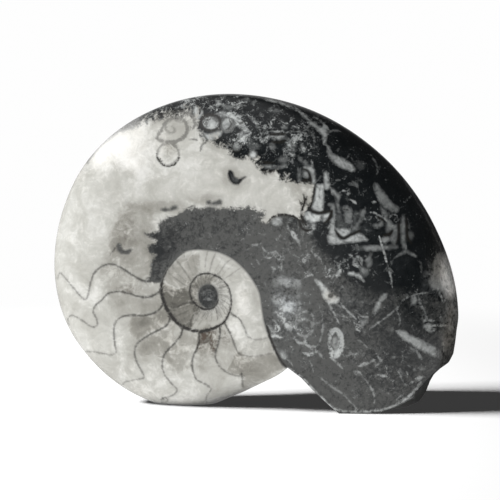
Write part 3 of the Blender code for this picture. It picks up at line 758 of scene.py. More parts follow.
# The spots round the upper left paint the highlight, and the two at the bottom edge paint bounce light from the table;
# the rest are whiter calcite, with the white patch at the right rim.
WHITE_AND_PAINTED_LIGHT_SPOTS = (
    (114, 146, 28, 14, 0.55), (136, 134, 12, 6, 0.25), (94, 165, 16, 10, 0.5), (130, 164, 14, 8, 0.4),
    (100, 156, 10, 7, 0.3), (74, 184, 8, 8, 0.25), (446, 277, 5.5, 10, 0.95), (451, 289, 4.5, 7, 0.9),
    (443, 263, 4, 7, 0.35), (150, 148, 30, 14, 0.12), (140, 396, 22, 9, 0.2), (185, 403, 26, 6, 0.2),
    (243, 303, 7, 18, 0.3), (81, 231, 3, 8, 0.2), (70, 243, 7, 5, 0.14), (72, 290, 7, 10, 0.12),
    (95, 292, 4, 14, 0.12), (236, 330, 5, 12, 0.18), (100, 180, 10, 6, 0.1), (150, 175, 14, 8, 0.1),
    (205, 165, 24, 6, 0.08), (228, 322, 5, 8, 0.14))
STAIN_SPOTS = (
    (203, 338, 4.5, 5, 1.0), (213, 343, 3.4, 9, 1.0), (208, 333, 7, 3, 0.6), (226, 337, 5, 7, 0.4),
    (199, 347, 2.6, 3, 0.8), (127, 289, 10, 5, 0.3), (126, 228, 12, 18, 0.2), (249, 367, 12, 7, 0.08),
    (331, 296, 8, 6, 0.35), (434, 270, 11, 16, 0.35), (451, 312, 6, 18, 0.5), (448, 340, 9, 16, 0.6),
    (438, 235, 12, 22, 0.5), (200, 354, 4, 6, 0.14))
# Pale haze, and over the grey reflecting part a faint painted bluish sheen.
HAZE_AND_SHEEN_SPOTS = (
    (431, 290, 9, 9, 0.025), (285, 296, 16, 26, 0.05), (300, 330, 22, 26, 0.03), (350, 300, 20, 12, 0.02),
    (275, 250, 12, 16, 0.02), (345, 228, 30, 18, 0.02), (300, 150, 20, 18, 0.01), (452, 315, 6, 22, 0.24),
    (431, 276, 6, 10, 0.1), (448, 341, 7, 14, 0.1), (440, 238, 5, 16, 0.03), (289.5, 307, 7, 8, 0.4),
    (279, 298, 7, 5, 0.14), (290, 281, 8, 4, 0.08), (284, 302, 8, 7, 0.12), (292, 282, 10, 5, 0.05),
    (256, 118, 26, 12, 0.008), (400, 262, 20, 12, 0.008))
DEEP_SPOTS = (
    (422, 304, 28, 20, 0.14), (405, 332, 42, 74, 0.85), (350, 302, 22, 24, 0.42), (296, 218, 16, 12, 0.55),
    (190, 228, 30, 10, 0.25), (158, 252, 14, 24, 0.95), (178, 244, 16, 12, 0.25), (215, 221, 34, 9, 0.22),
    (342, 262, 16, 8, 0.26), (438, 338, 10, 12, 0.26), (208, 296, 16, 16, 0.85), (285, 345, 8, 20, 0.2),
    (232, 230, 24, 14, 0.15))
MIXED_SPOTS = (
    (292, 178, 14, 6, 0.5), (190, 207, 22, 4, 0.22), (238, 208, 22, 4, 0.24), (262, 212, 9, 6, 0.3),
    (160, 222, 8, 8, 0.18), (157, 250, 4, 18, 0.14), (240, 112, 22, 14, 1.0), (238, 140, 18, 14, 1.0),
    (205, 108, 26, 8, 1.0), (165, 115, 26, 6, 1.0), (140, 124, 14, 6, 0.9), (210, 136, 12, 8, 0.8),
    (285, 172, 16, 8, 0.6), (262, 160, 12, 10, 0.8))
HASH_SPOTS = (
    (300, 128, 24, 16, 0.4), (300, 112, 26, 6, 0.4), (297, 245, 24, 20, 0.55), (330, 275, 22, 16, 0.55),
    (300, 148, 18, 22, 1.0), (262, 128, 22, 20, 1.2), (230, 112, 20, 12, 1.4), (180, 108, 30, 6, 1.5),
    (140, 122, 16, 7, 1.6), (238, 140, 16, 12, 1.0), (340, 180, 26, 14, 0.36), (346, 224, 30, 26, 0.28),
    (385, 222, 18, 16, 0.26), (350, 262, 24, 16, 0.45), (305, 225, 14, 14, 0.45), (300, 330, 26, 26, 0.55),
    (283, 300, 14, 24, 0.6), (350, 320, 26, 14, 0.4), (400, 362, 24, 18, 0.5), (360, 362, 22, 14, 0.35),
    (350, 158, 14, 10, 0.6), (430, 320, 14, 12, 0.4), (330, 128, 16, 8, 0.35), (240, 235, 26, 12, 0.12),
    (370, 395, 30, 14, 0.22))


def smooth_path(points, closed=False, step=1.5):
    """A Catmull-Rom curve through points of two or more columns, at about the given step in pixels."""
    points = np.array(points, dtype=float)
    if closed:
        knots = np.vstack((points[-1:], points, points[:2]))
    else:
        knots = np.vstack((2.0 * points[0] - points[1], points, 2.0 * points[-1] - points[-2]))
    out = []
    for a, b, c, d in zip(knots[:-3], knots[1:-2], knots[2:-1], knots[3:]):
        t = np.linspace(0.0, 1.0, max(2, int(np.hypot(*(c - b)[:2]) / step) + 1), endpoint=False)[:, None]
        out.append(0.5 * (2.0 * b + (c - a) * t + (2.0 * a - 5.0 * b + 4.0 * c - d) * t ** 2
                          + (3.0 * b - a - 3.0 * c + d) * t ** 3))
    return np.vstack(out + [points[:1] if closed else points[-1:]])


def nearby(at, path, reach):
    """The numbers of the places within a path's bounding box, widened by reach."""
    low, high = path[:, :2].min(axis=0) - reach, path[:, :2].max(axis=0) + reach
    return np.flatnonzero(((at > low) & (at < high)).all(axis=1))


def along_path(at, path):
    """Each place's distance from a path, which side of it it's on, and how far along it in segments."""
    start, leg = path[:-1, :2], path[1:, :2] - path[:-1, :2]
    length2 = np.maximum((leg ** 2).sum(axis=1), TINY)
    offset = at[:, None, :] - start[None]
    share = np.clip((offset * leg).sum(axis=2) / length2, 0.0, 1.0)
    apart = offset - share[..., None] * leg
    distance = np.hypot(apart[..., 0], apart[..., 1])
    nearest = distance.argmin(axis=1)
    row = np.arange(len(at))
    leg, offset = leg[nearest], offset[row, nearest]
    side = np.where(leg[:, 0] * offset[:, 1] - leg[:, 1] * offset[:, 0] < 0.0, -1.0, 1.0)
    return distance[row, nearest], side, nearest + share[row, nearest]


def depth_inside(at, ring):
    """Pixels inside a closed outline, negative outside it."""
    closed = np.vstack((ring, ring[:1]))
    distance = np.concatenate([along_path(part, closed)[0] for part in in_parts(at)])
    return np.where(is_inside(at, ring), distance, -distance)


class Marks:
    """The nearest mark of one kind at each place: filled shapes by their edge, lines by their two sides."""
    FAR = 12.0
    SHAPE_REACH = 5.0
    LINE_REACH = 6.0
    TAPER = 3.0
    TIP = 0.55

    def __init__(self, at):
        self.at = at
        self.edge, self.side, self.reach = (np.full(len(at), far) for far in (-self.FAR, self.FAR, self.FAR))
        self.shape_tone, self.half, self.line_tone = np.zeros((3, len(at)))

    def shape(self, points, tone=1.0):
        """A filled shape with a smooth outline through the points."""
        ring = smooth_path(points, closed=True)[:-1]
        near = nearby(self.at, ring, self.SHAPE_REACH)
        if len(near) == 0:
            return
        edge = depth_inside(self.at[near], ring)
        more = edge > self.edge[near]
        self.edge[near[more]] = edge[more]
        self.shape_tone[near[more]] = tone

    def line(self, points, width, tone, closed=False):
        """A line with tapered ends. Width and tone may run from one end's value to the other's, and with no
        width the points' third column is the half width."""
        path = smooth_path(points, closed)
        near = nearby(self.at, path, self.LINE_REACH)
        if len(near) == 0:
            return
        distance, side, along = along_path(self.at[near], path)
        last = len(path) - 1.0
        if width is None:
            half = np.interp(along, np.arange(len(path)), path[:, 2])
        elif isinstance(width, tuple):
            half, tone = (start + (end - start) * along / last for start, end in (width, tone))
            half = half / 2.0
        elif closed:
            half = np.full(len(near), width / 2.0)
        else:
            to_end = np.minimum(along, last - along) / min(self.TAPER, len(path) / 2.0)
            half = width / 2.0 * (self.TIP + (1.0 - self.TIP) * np.clip(to_end, 0.0, 1.0))
        closer = distance - half < self.reach[near] - self.half[near]
        spot = near[closer]
        self.side[spot] = (side * distance)[closer]
        self.reach[spot] = distance[closer]
        self.half[spot] = half[closer]
        self.line_tone[spot] = np.broadcast_to(tone, len(near))[closer]


def ellipse_points(x, y, across, down):
    """Points round an ellipse of this half width and half height."""
    around = np.radians(np.arange(0.0, 360.0, 30.0))
    return np.column_stack((x + across * np.cos(around), y + down * np.sin(around)))


BLACK_FAR = 30.0
SPOT_RAGGED = 0.35
SPOT_MARGIN = 3.5
SMOOTH_ROUND_UMBILICUS = 20.0
SMOOTH_BY_WHORL = (1.0, 5.0)


def black_region(at, at_front):
    """Pixels inside the black limestone, and how ragged its edge is, from 0 to 1."""
    along_whorl = smooth_path(BLACK_ALONG_WHORL)
    ring = np.vstack((along_whorl, smooth_path(BLACK_OVER_BODY), BLACK_OUTSIDE))
    spots = Marks(at)
    spots.shape(UMBILICUS_LOOP)
    spots.at = at_front
    for spot in BLACK_SPOTS[1:]:
        spots.shape(pairs(spot))
    inside = np.clip(np.maximum(depth_inside(at, ring), spots.edge), -BLACK_FAR, BLACK_FAR)
    ragged = np.where(spots.edge > -SPOT_MARGIN, SPOT_RAGGED, 1.0)
    ragged[np.hypot(*(at - UMBILICUS_PIXEL).T) < SMOOTH_ROUND_UMBILICUS] = 0.0
    near = nearby(at, along_whorl, Marks.LINE_REACH)
    ragged[near] *= smoothstep(*SMOOTH_BY_WHORL, along_path(at[near], along_whorl)[0])
    return inside, ragged


def grey_and_painted_reflection(at):
    """How grey the limestone is, its own grey and painted reflection, from 0 in the deep black to 1 in the dull grey
    part.
    """
    ring = np.vstack((smooth_path(GREY_AND_REFLECTION_EDGE), GREY_AND_REFLECTION_REST))
    depth = depth_inside(at, ring)
    return smoothstep(-GREY_AND_REFLECTION_SOFT, GREY_AND_REFLECTION_SOFT, depth) * (1.0 - soft_spots(at, DEEP_SPOTS))


def soft_spots(at, spots):
    """The amounts of overlapping spots at each place, added up."""
    total = np.zeros(len(at))
    for x, y, across, down, amount in spots:
        total += amount * np.exp(-((at[:, 0] - x) / across) ** 2 - ((at[:, 1] - y) / down) ** 2)
    return total


DEBRIS_SEED = 41
FRONT_DEBRIS = 420
BACK_DEBRIS = 700
DEBRIS_X = (150, 460)
DEBRIS_Y = (95, 415)
DEBRIS_CHANCE = (0.10, 0.8)
DEBRIS_LENGTHS = (0.8, 5.5)
DEBRIS_STRETCH = (0.5, 1.3)
DEBRIS_TURN = 1.6
DEBRIS_WIDTHS = (0.7, 1.7)
DEBRIS_TONES = (0.06, 0.16)
DEBRIS_PALER = 0.30
DEBRIS_LEGS = 3


def scatter_debris(marks, count, seed):
    """Small pale curls and flecks of shell, thickest where the hash is, with sizes in pixels."""
    random = np.random.RandomState(seed)
    pick = random.uniform
    while count > 0:
        x, y = pick(*DEBRIS_X), pick(*DEBRIS_Y)
        thick = soft_spots(np.array(((x, y),)), HASH_SPOTS)[0]
        if pick(0.0, 1.0) > DEBRIS_CHANCE[0] + DEBRIS_CHANCE[1] * thick:
            continue
        count -= 1
        length, turn = pick(*DEBRIS_LENGTHS) * pick(*DEBRIS_STRETCH), pick(-DEBRIS_TURN, DEBRIS_TURN)
        heading, width = pick(0.0, 2.0 * math.pi), pick(*DEBRIS_WIDTHS)
        tone = pick(*DEBRIS_TONES) + DEBRIS_PALER * thick * pick(0.0, 1.0)
        points = [(x, y)]
        while len(points) <= DEBRIS_LEGS:
            x += length / DEBRIS_LEGS * math.cos(heading)
            y += length / DEBRIS_LEGS * math.sin(heading)
            heading += turn / DEBRIS_LEGS
            points.append((x, y))
        marks.line(points, width, tone)


def loop_radius(points, degrees):
    """How far a loop drawn round the umbilicus is from its middle, at each angle."""
    offset = np.array(points)[:, :2] - UMBILICUS_PIXEL
    angles = np.degrees(np.arctan2(offset[:, 1], offset[:, 0]))
    return np.interp(degrees, angles, np.hypot(offset[:, 0], offset[:, 1]), period=360.0)


WALL_STEPS = np.linspace(0.04, 0.96, 5)
WALL_JITTER = 0.25
WALL_BOW_DEG = 2.0
WALL_WIDTHS = (0.8, 1.3)


def draw_septa(ink, inner, outer, count, sweep, tones, seed, gap):
    """Fine curved walls between two loops round the umbilicus, with none from one angle of the gap to the other."""
    random = np.random.RandomState(seed)
    for k in range(count):
        start = 360.0 * (k + random.uniform(-WALL_JITTER, WALL_JITTER)) / count
        if gap[0] < (start + 180.0) % 360.0 - 180.0 < gap[1]:
            continue
        bow = random.uniform(-WALL_BOW_DEG, WALL_BOW_DEG)
        degrees = start + sweep * (1.0 - WALL_STEPS) + bow * np.sin(math.pi * WALL_STEPS)
        low, high = loop_radius(inner, degrees), loop_radius(outer, degrees)
        radius, turn = low + (high - low) * WALL_STEPS, np.radians(degrees)
        wall = UMBILICUS_PIXEL + np.column_stack((radius * np.cos(turn), radius * np.sin(turn)))
        ink.line(wall, random.uniform(*WALL_WIDTHS), random.uniform(*tones))


# The back's pale pieces are the front's, turned about a point of the picture and moved; its spots drift too.
BACK_TURN_CENTRE = (362.0, 262.0)
BACK_TURN_DEG = 160.0
BACK_SHELLS_FROM = 20
BACK_DRIFT = (-24.0, 34.0)
# The drift grows between these depths in mm. Marks of one side alone end at FRONT_UP_TO.
DRIFT_FROM_TO = (-12.0, 16.0)
FRONT_UP_TO = 1.0
OFF_PICTURE = -1000.0
# The polish's gloss lightens fine dark lines, so they're drawn a little wider and darker.
INK_WIDER = 0.6
INK_DARKER = 1.15


def turned(at):
    """Places in the picture, turned for the back."""
    c, s = math.cos(math.radians(BACK_TURN_DEG)), math.sin(math.radians(BACK_TURN_DEG))
    return np.array(BACK_TURN_CENTRE) + (at - np.array(BACK_TURN_CENTRE)) @ np.array(((c, s), (-s, c)))


def mark_stone(stone):
    """Works out every marking at the stone's vertices and stores it in the mesh."""
    mesh = stone.data
    points = np.empty(len(mesh.vertices) * 3, np.float32)
    mesh.vertices.foreach_get("co", points)
    points = points.reshape(-1, 3).astype(float) / MM
    at = picture_pixel(points)
    on_front = points[:, 1:2] < FRONT_UP_TO
    at_front, at_back = np.where(on_front, at, OFF_PICTURE), np.where(on_front, OFF_PICTURE, at)
    at_spots = at + smoothstep(*DRIFT_FROM_TO, points[:, 1:2]) * np.array(BACK_DRIFT)

    inside, ragged = black_region(at, at_front)
    seam, ink, chambers, shells = Marks(at), Marks(at_front), Marks(at), Marks(at_front)
    for k, suture in enumerate(SUTURES):
        back = 1 if k < FROM_SEAM else -1
        seam.line(pairs(suture), SUTURE_WIDTHS[::back], (SUTURE_TONES if k < FIRST_FAINT else FAINT_TONES)[::back])
    for septa in SEPTA:
        draw_septa(seam, *septa)
    seam.line([(x, y, half * SEAM_SPREAD) for x, y, half in SEAM], None, 1.0)
    for tone, width, *line in DARK_LINES:
        ink.line(pairs(line), width + INK_WIDER, min(tone * INK_DARKER, 1.0))
    for tone, width, *oval in DARK_RINGS:
        ink.line(ellipse_points(*oval), width, tone, closed=True)
    for tone, *outline in CHAMBERS:
        chambers.shape(pairs(outline), tone)
    for tone, *outline in SHELLS:
        shells.shape(pairs(outline), tone)
    for tone, *oval in RING_INSIDES:
        shells.shape(ellipse_points(*oval), tone)
    for tone, width, *line in SHELL_LINES:
        shells.line(pairs(line), width, tone)
    scatter_debris(shells, FRONT_DEBRIS, DEBRIS_SEED)
    shells.at = turned(at_back)
    for tone, *outline in SHELLS[BACK_SHELLS_FROM:]:
        shells.shape(pairs(outline), tone)
    shells.at = at_back
    scatter_debris(shells, BACK_DEBRIS, DEBRIS_SEED + 1)

    numbers = {"black_inside": inside, "black_ragged": ragged, "painted_reflection_and_grey": grey_and_painted_reflection(at),
               "shell_edge": shells.edge, "shell_tone": shells.shape_tone,
               "chamber_edge": chambers.edge, "chamber_tone": chambers.shape_tone,
               "grey": soft_spots(at, GREY_SPOTS), "mixed": soft_spots(at, MIXED_SPOTS)}
    for name, spots in (("white_and_painted_light", WHITE_AND_PAINTED_LIGHT_SPOTS), ("stain", STAIN_SPOTS), ("haze_and_sheen", HAZE_AND_SHEEN_SPOTS), ("hash", HASH_SPOTS)):
        numbers[name] = soft_spots(at_spots, spots)
    for kind, marks in (("seam", seam), ("ink", ink), ("shell", shells)):
        for part in ("side", "reach", "half", "line_tone"):
            numbers[kind + "_" + part] = getattr(marks, part)
    for name, values in numbers.items():
        set_number(mesh, name, values)


# ---------------------------------------------------------------- the stone's material

def maths_method(operation):
    """A method that adds a maths node of this kind."""
    return lambda field, *values: field.maths(operation, *values)


class Field:
    """A number or colour in a node tree: arithmetic on it adds the nodes that work it out."""

    def __init__(self, tree, socket):
        self.tree = tree
        self.socket = socket

    def feed(self, slot, value):
        """Links or sets a node's input."""
        if isinstance(value, Field):
            self.tree.links.new(value.socket, slot)
        else:
            slot.default_value = value

    def maths(self, operation, *values, clamp=False):
        """What a maths node makes of the field and the values."""
        node = self.tree.nodes.new("ShaderNodeMath")
        node.operation = operation
        node.use_clamp = clamp
        for slot, value in zip(node.inputs, (self,) + values):
            self.feed(slot, value)
        return Field(self.tree, node.outputs[0])

    __add__ = maths_method("ADD")
    __sub__ = maths_method("SUBTRACT")
    __mul__ = maths_method("MULTIPLY")
    __truediv__ = maths_method("DIVIDE")
    size = maths_method("ABSOLUTE")
    least = maths_method("MINIMUM")
    most = maths_method("MAXIMUM")

    def __neg__(self):
        return self * -1.0

    def clamped(self):
        """Held between 0 and 1."""
        return self.maths("ADD", 0.0, clamp=True)

    def rise(self, low, high):
        """0 at low to 1 at high, smoothly; low may be the greater."""
        node = self.tree.nodes.new("ShaderNodeMapRange")
        node.interpolation_type = "SMOOTHSTEP"
        self.feed(node.inputs["Value"], self)
        ends = (low, high, 0.0, 1.0) if low < high else (high, low, 1.0, 0.0)
        for name, value in zip(("From Min", "From Max", "To Min", "To Max"), ends):
            node.inputs[name].default_value = value
        return Field(self.tree, node.outputs["Result"])


def attribute(tree, name):
    """A number that mark_stone stored at the vertices."""
    node = tree.nodes.new("ShaderNodeAttribute")
    node.attribute_name = name
    return Field(tree, node.outputs["Fac"])


def noise(tree, lump, detail, roughness, distortion=0.0, offset=(0.0, 0.0, 0.0)):
    """Noise from about -0.5 to 0.5 over the stone, whose largest lumps are about so many mm across."""
    place = tree.nodes.new("ShaderNodeTexCoord")
    mapping = tree.nodes.new("ShaderNodeMapping")
    mapping.inputs["Scale"].default_value = (1.0 / MM,) * 3
    mapping.inputs["Location"].default_value = offset
    tree.links.new(place.outputs["Object"], mapping.inputs["Vector"])
    node = tree.nodes.new("ShaderNodeTexNoise")
    tree.links.new(mapping.outputs["Vector"], node.inputs["Vector"])
    for name, value in (("Scale", 1.0 / lump), ("Detail", detail), ("Roughness", roughness),
                        ("Distortion", distortion)):
        node.inputs[name].default_value = value
    return Field(tree, node.outputs["Fac"]) - 0.5


# The mix node's sockets for colours.
FIRST_COLOUR = 6
SECOND_COLOUR = 7
BLENDED = 2


def blend_colours(tree, share, first, second, blend_type="MIX"):
    """first where share is 0, second where it's 1, or with MULTIPLY first times second."""
    node = tree.nodes.new("ShaderNodeMix")
    node.data_type = "RGBA"
    node.blend_type = blend_type
    for slot, value in (("Factor", share), (FIRST_COLOUR, first), (SECOND_COLOUR, second)):
        if isinstance(value, Field):
            tree.links.new(value.socket, node.inputs[slot])
        else:
            node.inputs[slot].default_value = (*value, 1.0) if isinstance(value, tuple) else value
    return Field(tree, node.outputs[BLENDED])


def tinted(tree, share, colour, tint):
    """The colour, multiplied by the tint where share is 1."""
    return blend_colours(tree, share, colour, blend_colours(tree, 1.0, colour, tint, "MULTIPLY"))


# Pixels over which edges fade, and pixels that lines reach past their ends.
CHAMBER_SOFT = 3.0
SEAM_SOFT = 1.7
INK_SOFT = 1.7
SHELL_LINE_SOFT = 1.6
SHELL_SOFT = 3.0
BLACK_SOFT = 2.4
MIXED_SOFT = 9.0
PAST_ENDS = 1.6


def line_cover(tree, kind, soft, waver):
    """How much of a kind of line covers a point, crisp across the line and cut off past its ends."""
    side, reach, half = (attribute(tree, kind + part) for part in ("_side", "_reach", "_half"))
    half = half + waver
    across = ((half - side.size()) / soft + 0.5).clamped()
    return across * (half - reach + PAST_ENDS).clamped() * attribute(tree, kind + "_line_tone")


CALCITE = (0.522, 0.522, 0.495)
# Whiter calcite, also used for the painted highlight and bounce light.
CALCITE_WHITE_AND_PAINTED_LIGHT = (0.80, 0.795, 0.775)
CALCITE_GREY = (0.112, 0.110, 0.100)
STAIN = (0.07, 0.052, 0.039)
SHELL = (0.54, 0.56, 0.55)
# Grey of the limestone where it also carries the painted reflection of the polish.
GREY_LIMESTONE_AND_REFLECTION = (0.065, 0.066, 0.063)
DEEP_BLACK = (0.005, 0.0064, 0.0072)
# Pale haze, also the colour of a faint painted bluish sheen.
HAZE_AND_SHEEN = (0.57, 0.60, 0.61)
INK = (0.015, 0.014, 0.012)
WARM_TINT = (1.0, 0.96, 0.87)
RUST_TINT = (1.0, 0.84, 0.68)
STONE_IOR = 1.55
POLISHED = 0.13
UNPOLISHED = 0.62
# How far in pixels the calcite is greyer beside the black and the seam, and how much.
GREY_BY_BLACK = (15.0, 0.22)
GREY_BY_SEAM = (4.5, 0.16)
# The level where noise starts to show as shell sparks and flecks, and how much higher they're whole.
SPARK_LEVELS = (0.145, 0.12)
FLECK_LEVELS = (0.165, 0.13)
SPARKS_SHARE = 0.35
# The stone's noises: the largest lumps' size in mm, detail, roughness, distortion and offset. They're laid over
# each other with weights that were set against the photo.
CLOUDS = (9.0, 5.0, 0.62, 0.6)
WISPS = (2.6, 4.0, 0.65, 1.2, (7.0, 3.0, 1.0))
GRAIN = (1.1, 4.0, 0.7, 0.5, (1.0, 5.0, 9.0))
DUST = (0.45, 2.0, 0.6, 0.0, (2.0, 8.0, 4.0))
CLUMPS = (4.2, 3.0, 0.6, 0.8, (9.0, 2.0, 6.0))
SPECKLE = (1.4, 5.0, 0.75, 0.9, (3.0, 11.0, 5.0))
SPARKS = (0.8, 3.0, 0.7, 0.8, (4.0, 1.0, 12.0))


def calcite_colour(tree, clouds, wisps, grain):
    """White calcite with grey clouds and chambers, painted highlight and bounce light where it's whiter, stains, and
    the fine seam, sutures and septa.
    """
    grey, white_and_painted_light = attribute(tree, "grey"), attribute(tree, "white_and_painted_light")
    chamber = attribute(tree, "chamber_edge") + wisps * 6.0 + grain * 2.5
    chamber = chamber.rise(-CHAMBER_SOFT, CHAMBER_SOFT)
    grey = grey + chamber * attribute(tree, "chamber_tone")
    by_black = (attribute(tree, "black_inside") + clouds * 14.0).rise(-GREY_BY_BLACK[0], 0.0)
    by_seam = attribute(tree, "seam_reach").rise(GREY_BY_SEAM[0], 0.0) * attribute(tree, "seam_line_tone")
    mottle = clouds * 1.35 + wisps * 0.5 + grain * 0.25
    greyness = grey * 1.1 + by_seam * GREY_BY_SEAM[1] + by_black * GREY_BY_BLACK[1] + mottle * (grey * 0.9 + 0.9)
    greyness = (greyness + 0.09).most(0.0) * (-white_and_painted_light * 1.6 + 1.0).clamped()
    calcite = blend_colours(tree, greyness / (greyness * 0.55 + 1.0), CALCITE, CALCITE_GREY)
    # Whiter calcite, with painted highlight at the upper left and painted bounce light along the bottom.
    whiteness_and_painted_light = white_and_painted_light * 2.0 - wisps * 1.2 - clouds * 1.4 + grain * 0.4 - 0.09
    calcite = blend_colours(tree, whiteness_and_painted_light.clamped(), calcite, CALCITE_WHITE_AND_PAINTED_LIGHT)
    calcite = tinted(tree, (grey * 0.45 + clouds * 0.8 + 0.20).clamped().least(0.62), calcite, WARM_TINT)
    stain = attribute(tree, "stain") * (wisps * 7.0 + grain * 6.0 + 0.80)
    calcite = blend_colours(tree, stain.clamped(), calcite, STAIN)
    seam = line_cover(tree, "seam", SEAM_SOFT, wisps * 1.5 + grain * 2.5)
    return blend_colours(tree, seam * (wisps * 2.0 + grain * 1.5 + 1.05).clamped(), calcite, INK)


def limestone_colour(tree, clouds, wisps, grain, speckle):
    """Black limestone, greyer on one side with painted reflection, with haze and a faint painted bluish sheen, shell
    hash, lines and pieces of pale shell, and white patches with a little painted highlight.
    """
    thickness = attribute(tree, "hash")
    dust, clumps, sparks = (noise(tree, *values) for values in (DUST, CLUMPS, SPARKS))
    # Painted reflection: the grey side stands for the polish's reflection as well as for the limestone's own grey.
    painted_reflection_and_grey = attribute(tree, "painted_reflection_and_grey")
    painted_reflection_and_grey = painted_reflection_and_grey + (speckle * 8.0 + wisps * 6.0) * painted_reflection_and_grey * (-painted_reflection_and_grey + 1.0)
    painted_reflection_and_grey = painted_reflection_and_grey * (clouds * 1.4 + wisps * 2.0 + grain * 3.0 + dust * 0.8 + 1.0)
    colour = blend_colours(tree, painted_reflection_and_grey.clamped(), DEEP_BLACK, GREY_LIMESTONE_AND_REFLECTION)
    # Pale haze, with a faint painted bluish sheen over the reflecting part.
    haze_and_sheen = attribute(tree, "haze_and_sheen") + thickness * 0.009 + 0.003
    haze_and_sheen = haze_and_sheen * (clumps * 4.5 + wisps * 3.0 + grain * 2.5 + 1.0)
    colour = blend_colours(tree, haze_and_sheen.clamped(), colour, HAZE_AND_SHEEN)
    sparks = (sparks + clumps * 0.4 + thickness * 0.07 - SPARK_LEVELS[0]).rise(0.0, SPARK_LEVELS[1])
    colour = blend_colours(tree, sparks * SPARKS_SHARE, colour, SHELL)
    flecks = (speckle + clumps * 0.9 + thickness * 0.13 - FLECK_LEVELS[0]).rise(0.0, FLECK_LEVELS[1])
    flecks = flecks * thickness.least(1.0) * (grain * 2.6 + clumps * 1.2 + dust * 1.6 + 0.46).clamped()
    colour = blend_colours(tree, flecks, colour, SHELL)

    lines = line_cover(tree, "shell", SHELL_LINE_SOFT, wisps * 2.4 + grain * 2.4)
    lines = lines * (wisps * 1.4 + clumps * 2.0 + grain * 1.2 + dust * 1.0 + 0.72).clamped()
    lines = lines * (wisps * 3.0 + grain * 4.0 + speckle * 2.0 + 1.0).clamped()
    colour = blend_colours(tree, lines, colour, SHELL)
    edge = attribute(tree, "shell_edge") + wisps * 2.4 + grain * 2.2 + speckle * (thickness * 4.0 + 0.6)
    shell = (edge / SHELL_SOFT + 0.42).clamped() * (edge * 0.07 + 0.82).clamped() * attribute(tree, "shell_tone")
    shell = shell * (wisps * 1.4 + clumps * 1.6 + grain * 0.5 + 0.76).clamped()
    colour = blend_colours(tree, shell, colour, SHELL)
    # White patches, and painted highlight where the whiter spots reach the limestone.
    white_patch_and_painted_light = attribute(tree, "white_and_painted_light") * (wisps * 3.0 + grain * 2.0 + 1.0)
    colour = blend_colours(tree, white_patch_and_painted_light.clamped(), colour, CALCITE_WHITE_AND_PAINTED_LIGHT)
    return tinted(tree, attribute(tree, "stain").clamped(), colour, RUST_TINT)


def stone_material():
    """Polished black limestone and white calcite, dull on the broken end."""
    material = bpy.data.materials.new("polished_goniatite")
    material.use_nodes = True
    tree = material.node_tree
    shader = tree.nodes["Principled BSDF"]
    shader.inputs["IOR"].default_value = STONE_IOR
    clouds, wisps, grain, speckle = (noise(tree, *values) for values in (CLOUDS, WISPS, GRAIN, SPECKLE))

    # The black's edge is ragged, and broken up into the white where it's mixed.
    mixed = attribute(tree, "mixed")
    ragged = (wisps * 40.0 + speckle * 26.0 + grain * 22.0 + clouds * 20.0 + 5.5) * mixed
    ragged = (ragged + wisps * 8.0 + grain * 6.0) * attribute(tree, "black_ragged")
    black = ((attribute(tree, "black_inside") + ragged) / (mixed * MIXED_SOFT + BLACK_SOFT) + 0.5).clamped()
    colour = blend_colours(tree, black, calcite_colour(tree, clouds, wisps, grain),
                           limestone_colour(tree, clouds, wisps, grain, speckle))
    ink = line_cover(tree, "ink", INK_SOFT, wisps * 3.0 + grain * 3.0)
    ink = ink * (wisps * 3.0 + grain * 2.0 + speckle * 2.0 + 1.22).clamped()
    colour = blend_colours(tree, ink, colour, INK)
    tree.links.new(colour.socket, shader.inputs["Base Color"])
    roughness = attribute(tree, "broken") * (UNPOLISHED - POLISHED) + POLISHED
    tree.links.new(roughness.socket, shader.inputs["Roughness"])
    return material


# ---------------------------------------------------------------- floor, light and surroundings

TABLE_REACH = 6.0
TABLE_COLOUR = (0.90, 0.90, 0.90, 1.0)
TABLE_GLOW = 0.99
# Distances from the middle, in metres, between which the table fades.
TABLE_FADES = (0.11, 0.28)


def make_floor():
    """A white table that the stone stands on, fading into an even white away from it."""
    mesh = bpy.data.meshes.new("table")
    corners = [(x * TABLE_REACH, y * TABLE_REACH, 0.0) for x, y in ((-1, -1), (1, -1), (1, 1), (-1, 1))]
    mesh.from_pydata(corners, [], [(0, 1, 2, 3)])
    floor = new_object("table", mesh)
    floor.visible_glossy = False
    material = bpy.data.materials.new("white_table")
    material.use_nodes = True
    tree = material.node_tree
    paper = tree.nodes["Principled BSDF"]
    for name, value in (("Base Color", TABLE_COLOUR), ("Roughness", 1.0), ("Specular IOR Level", 0.0)):
        paper.inputs[name].default_value = value
    glow = tree.nodes.new("ShaderNodeEmission")
    glow.inputs["Strength"].default_value = TABLE_GLOW
    place = tree.nodes.new("ShaderNodeTexCoord")
    distance = tree.nodes.new("ShaderNodeVectorMath")
    distance.operation = "LENGTH"
    tree.links.new(place.outputs["Object"], distance.inputs[0])
    away = Field(tree, distance.outputs["Value"]).rise(*TABLE_FADES)
    mix = tree.nodes.new("ShaderNodeMixShader")
    for slot, socket in enumerate((away.socket, paper.outputs["BSDF"], glow.outputs["Emission"])):
        tree.links.new(socket, mix.inputs[slot])
    tree.links.new(mix.outputs["Shader"], tree.nodes["Material Output"].inputs["Surface"])
    mesh.materials.append(material)
    return floor


# Lengths in metres, directions towards the lights.
KEY_FROM = (-0.67, -0.04, 0.47)
KEY_DISTANCE = 0.9
KEY_SIZE = (0.3, 0.22)
KEY_POWER = 5.7
TABLE_POWER = 12.6
FILL_FROM = (-0.25, -0.95, 0.2)
FILL_DISTANCE = 1.5
FILL_SIZE = (1.2, 1.2)
FILL_POWER = 18.0
LIGHTS_AIM = Vector((0.0, 0.0, 0.04))


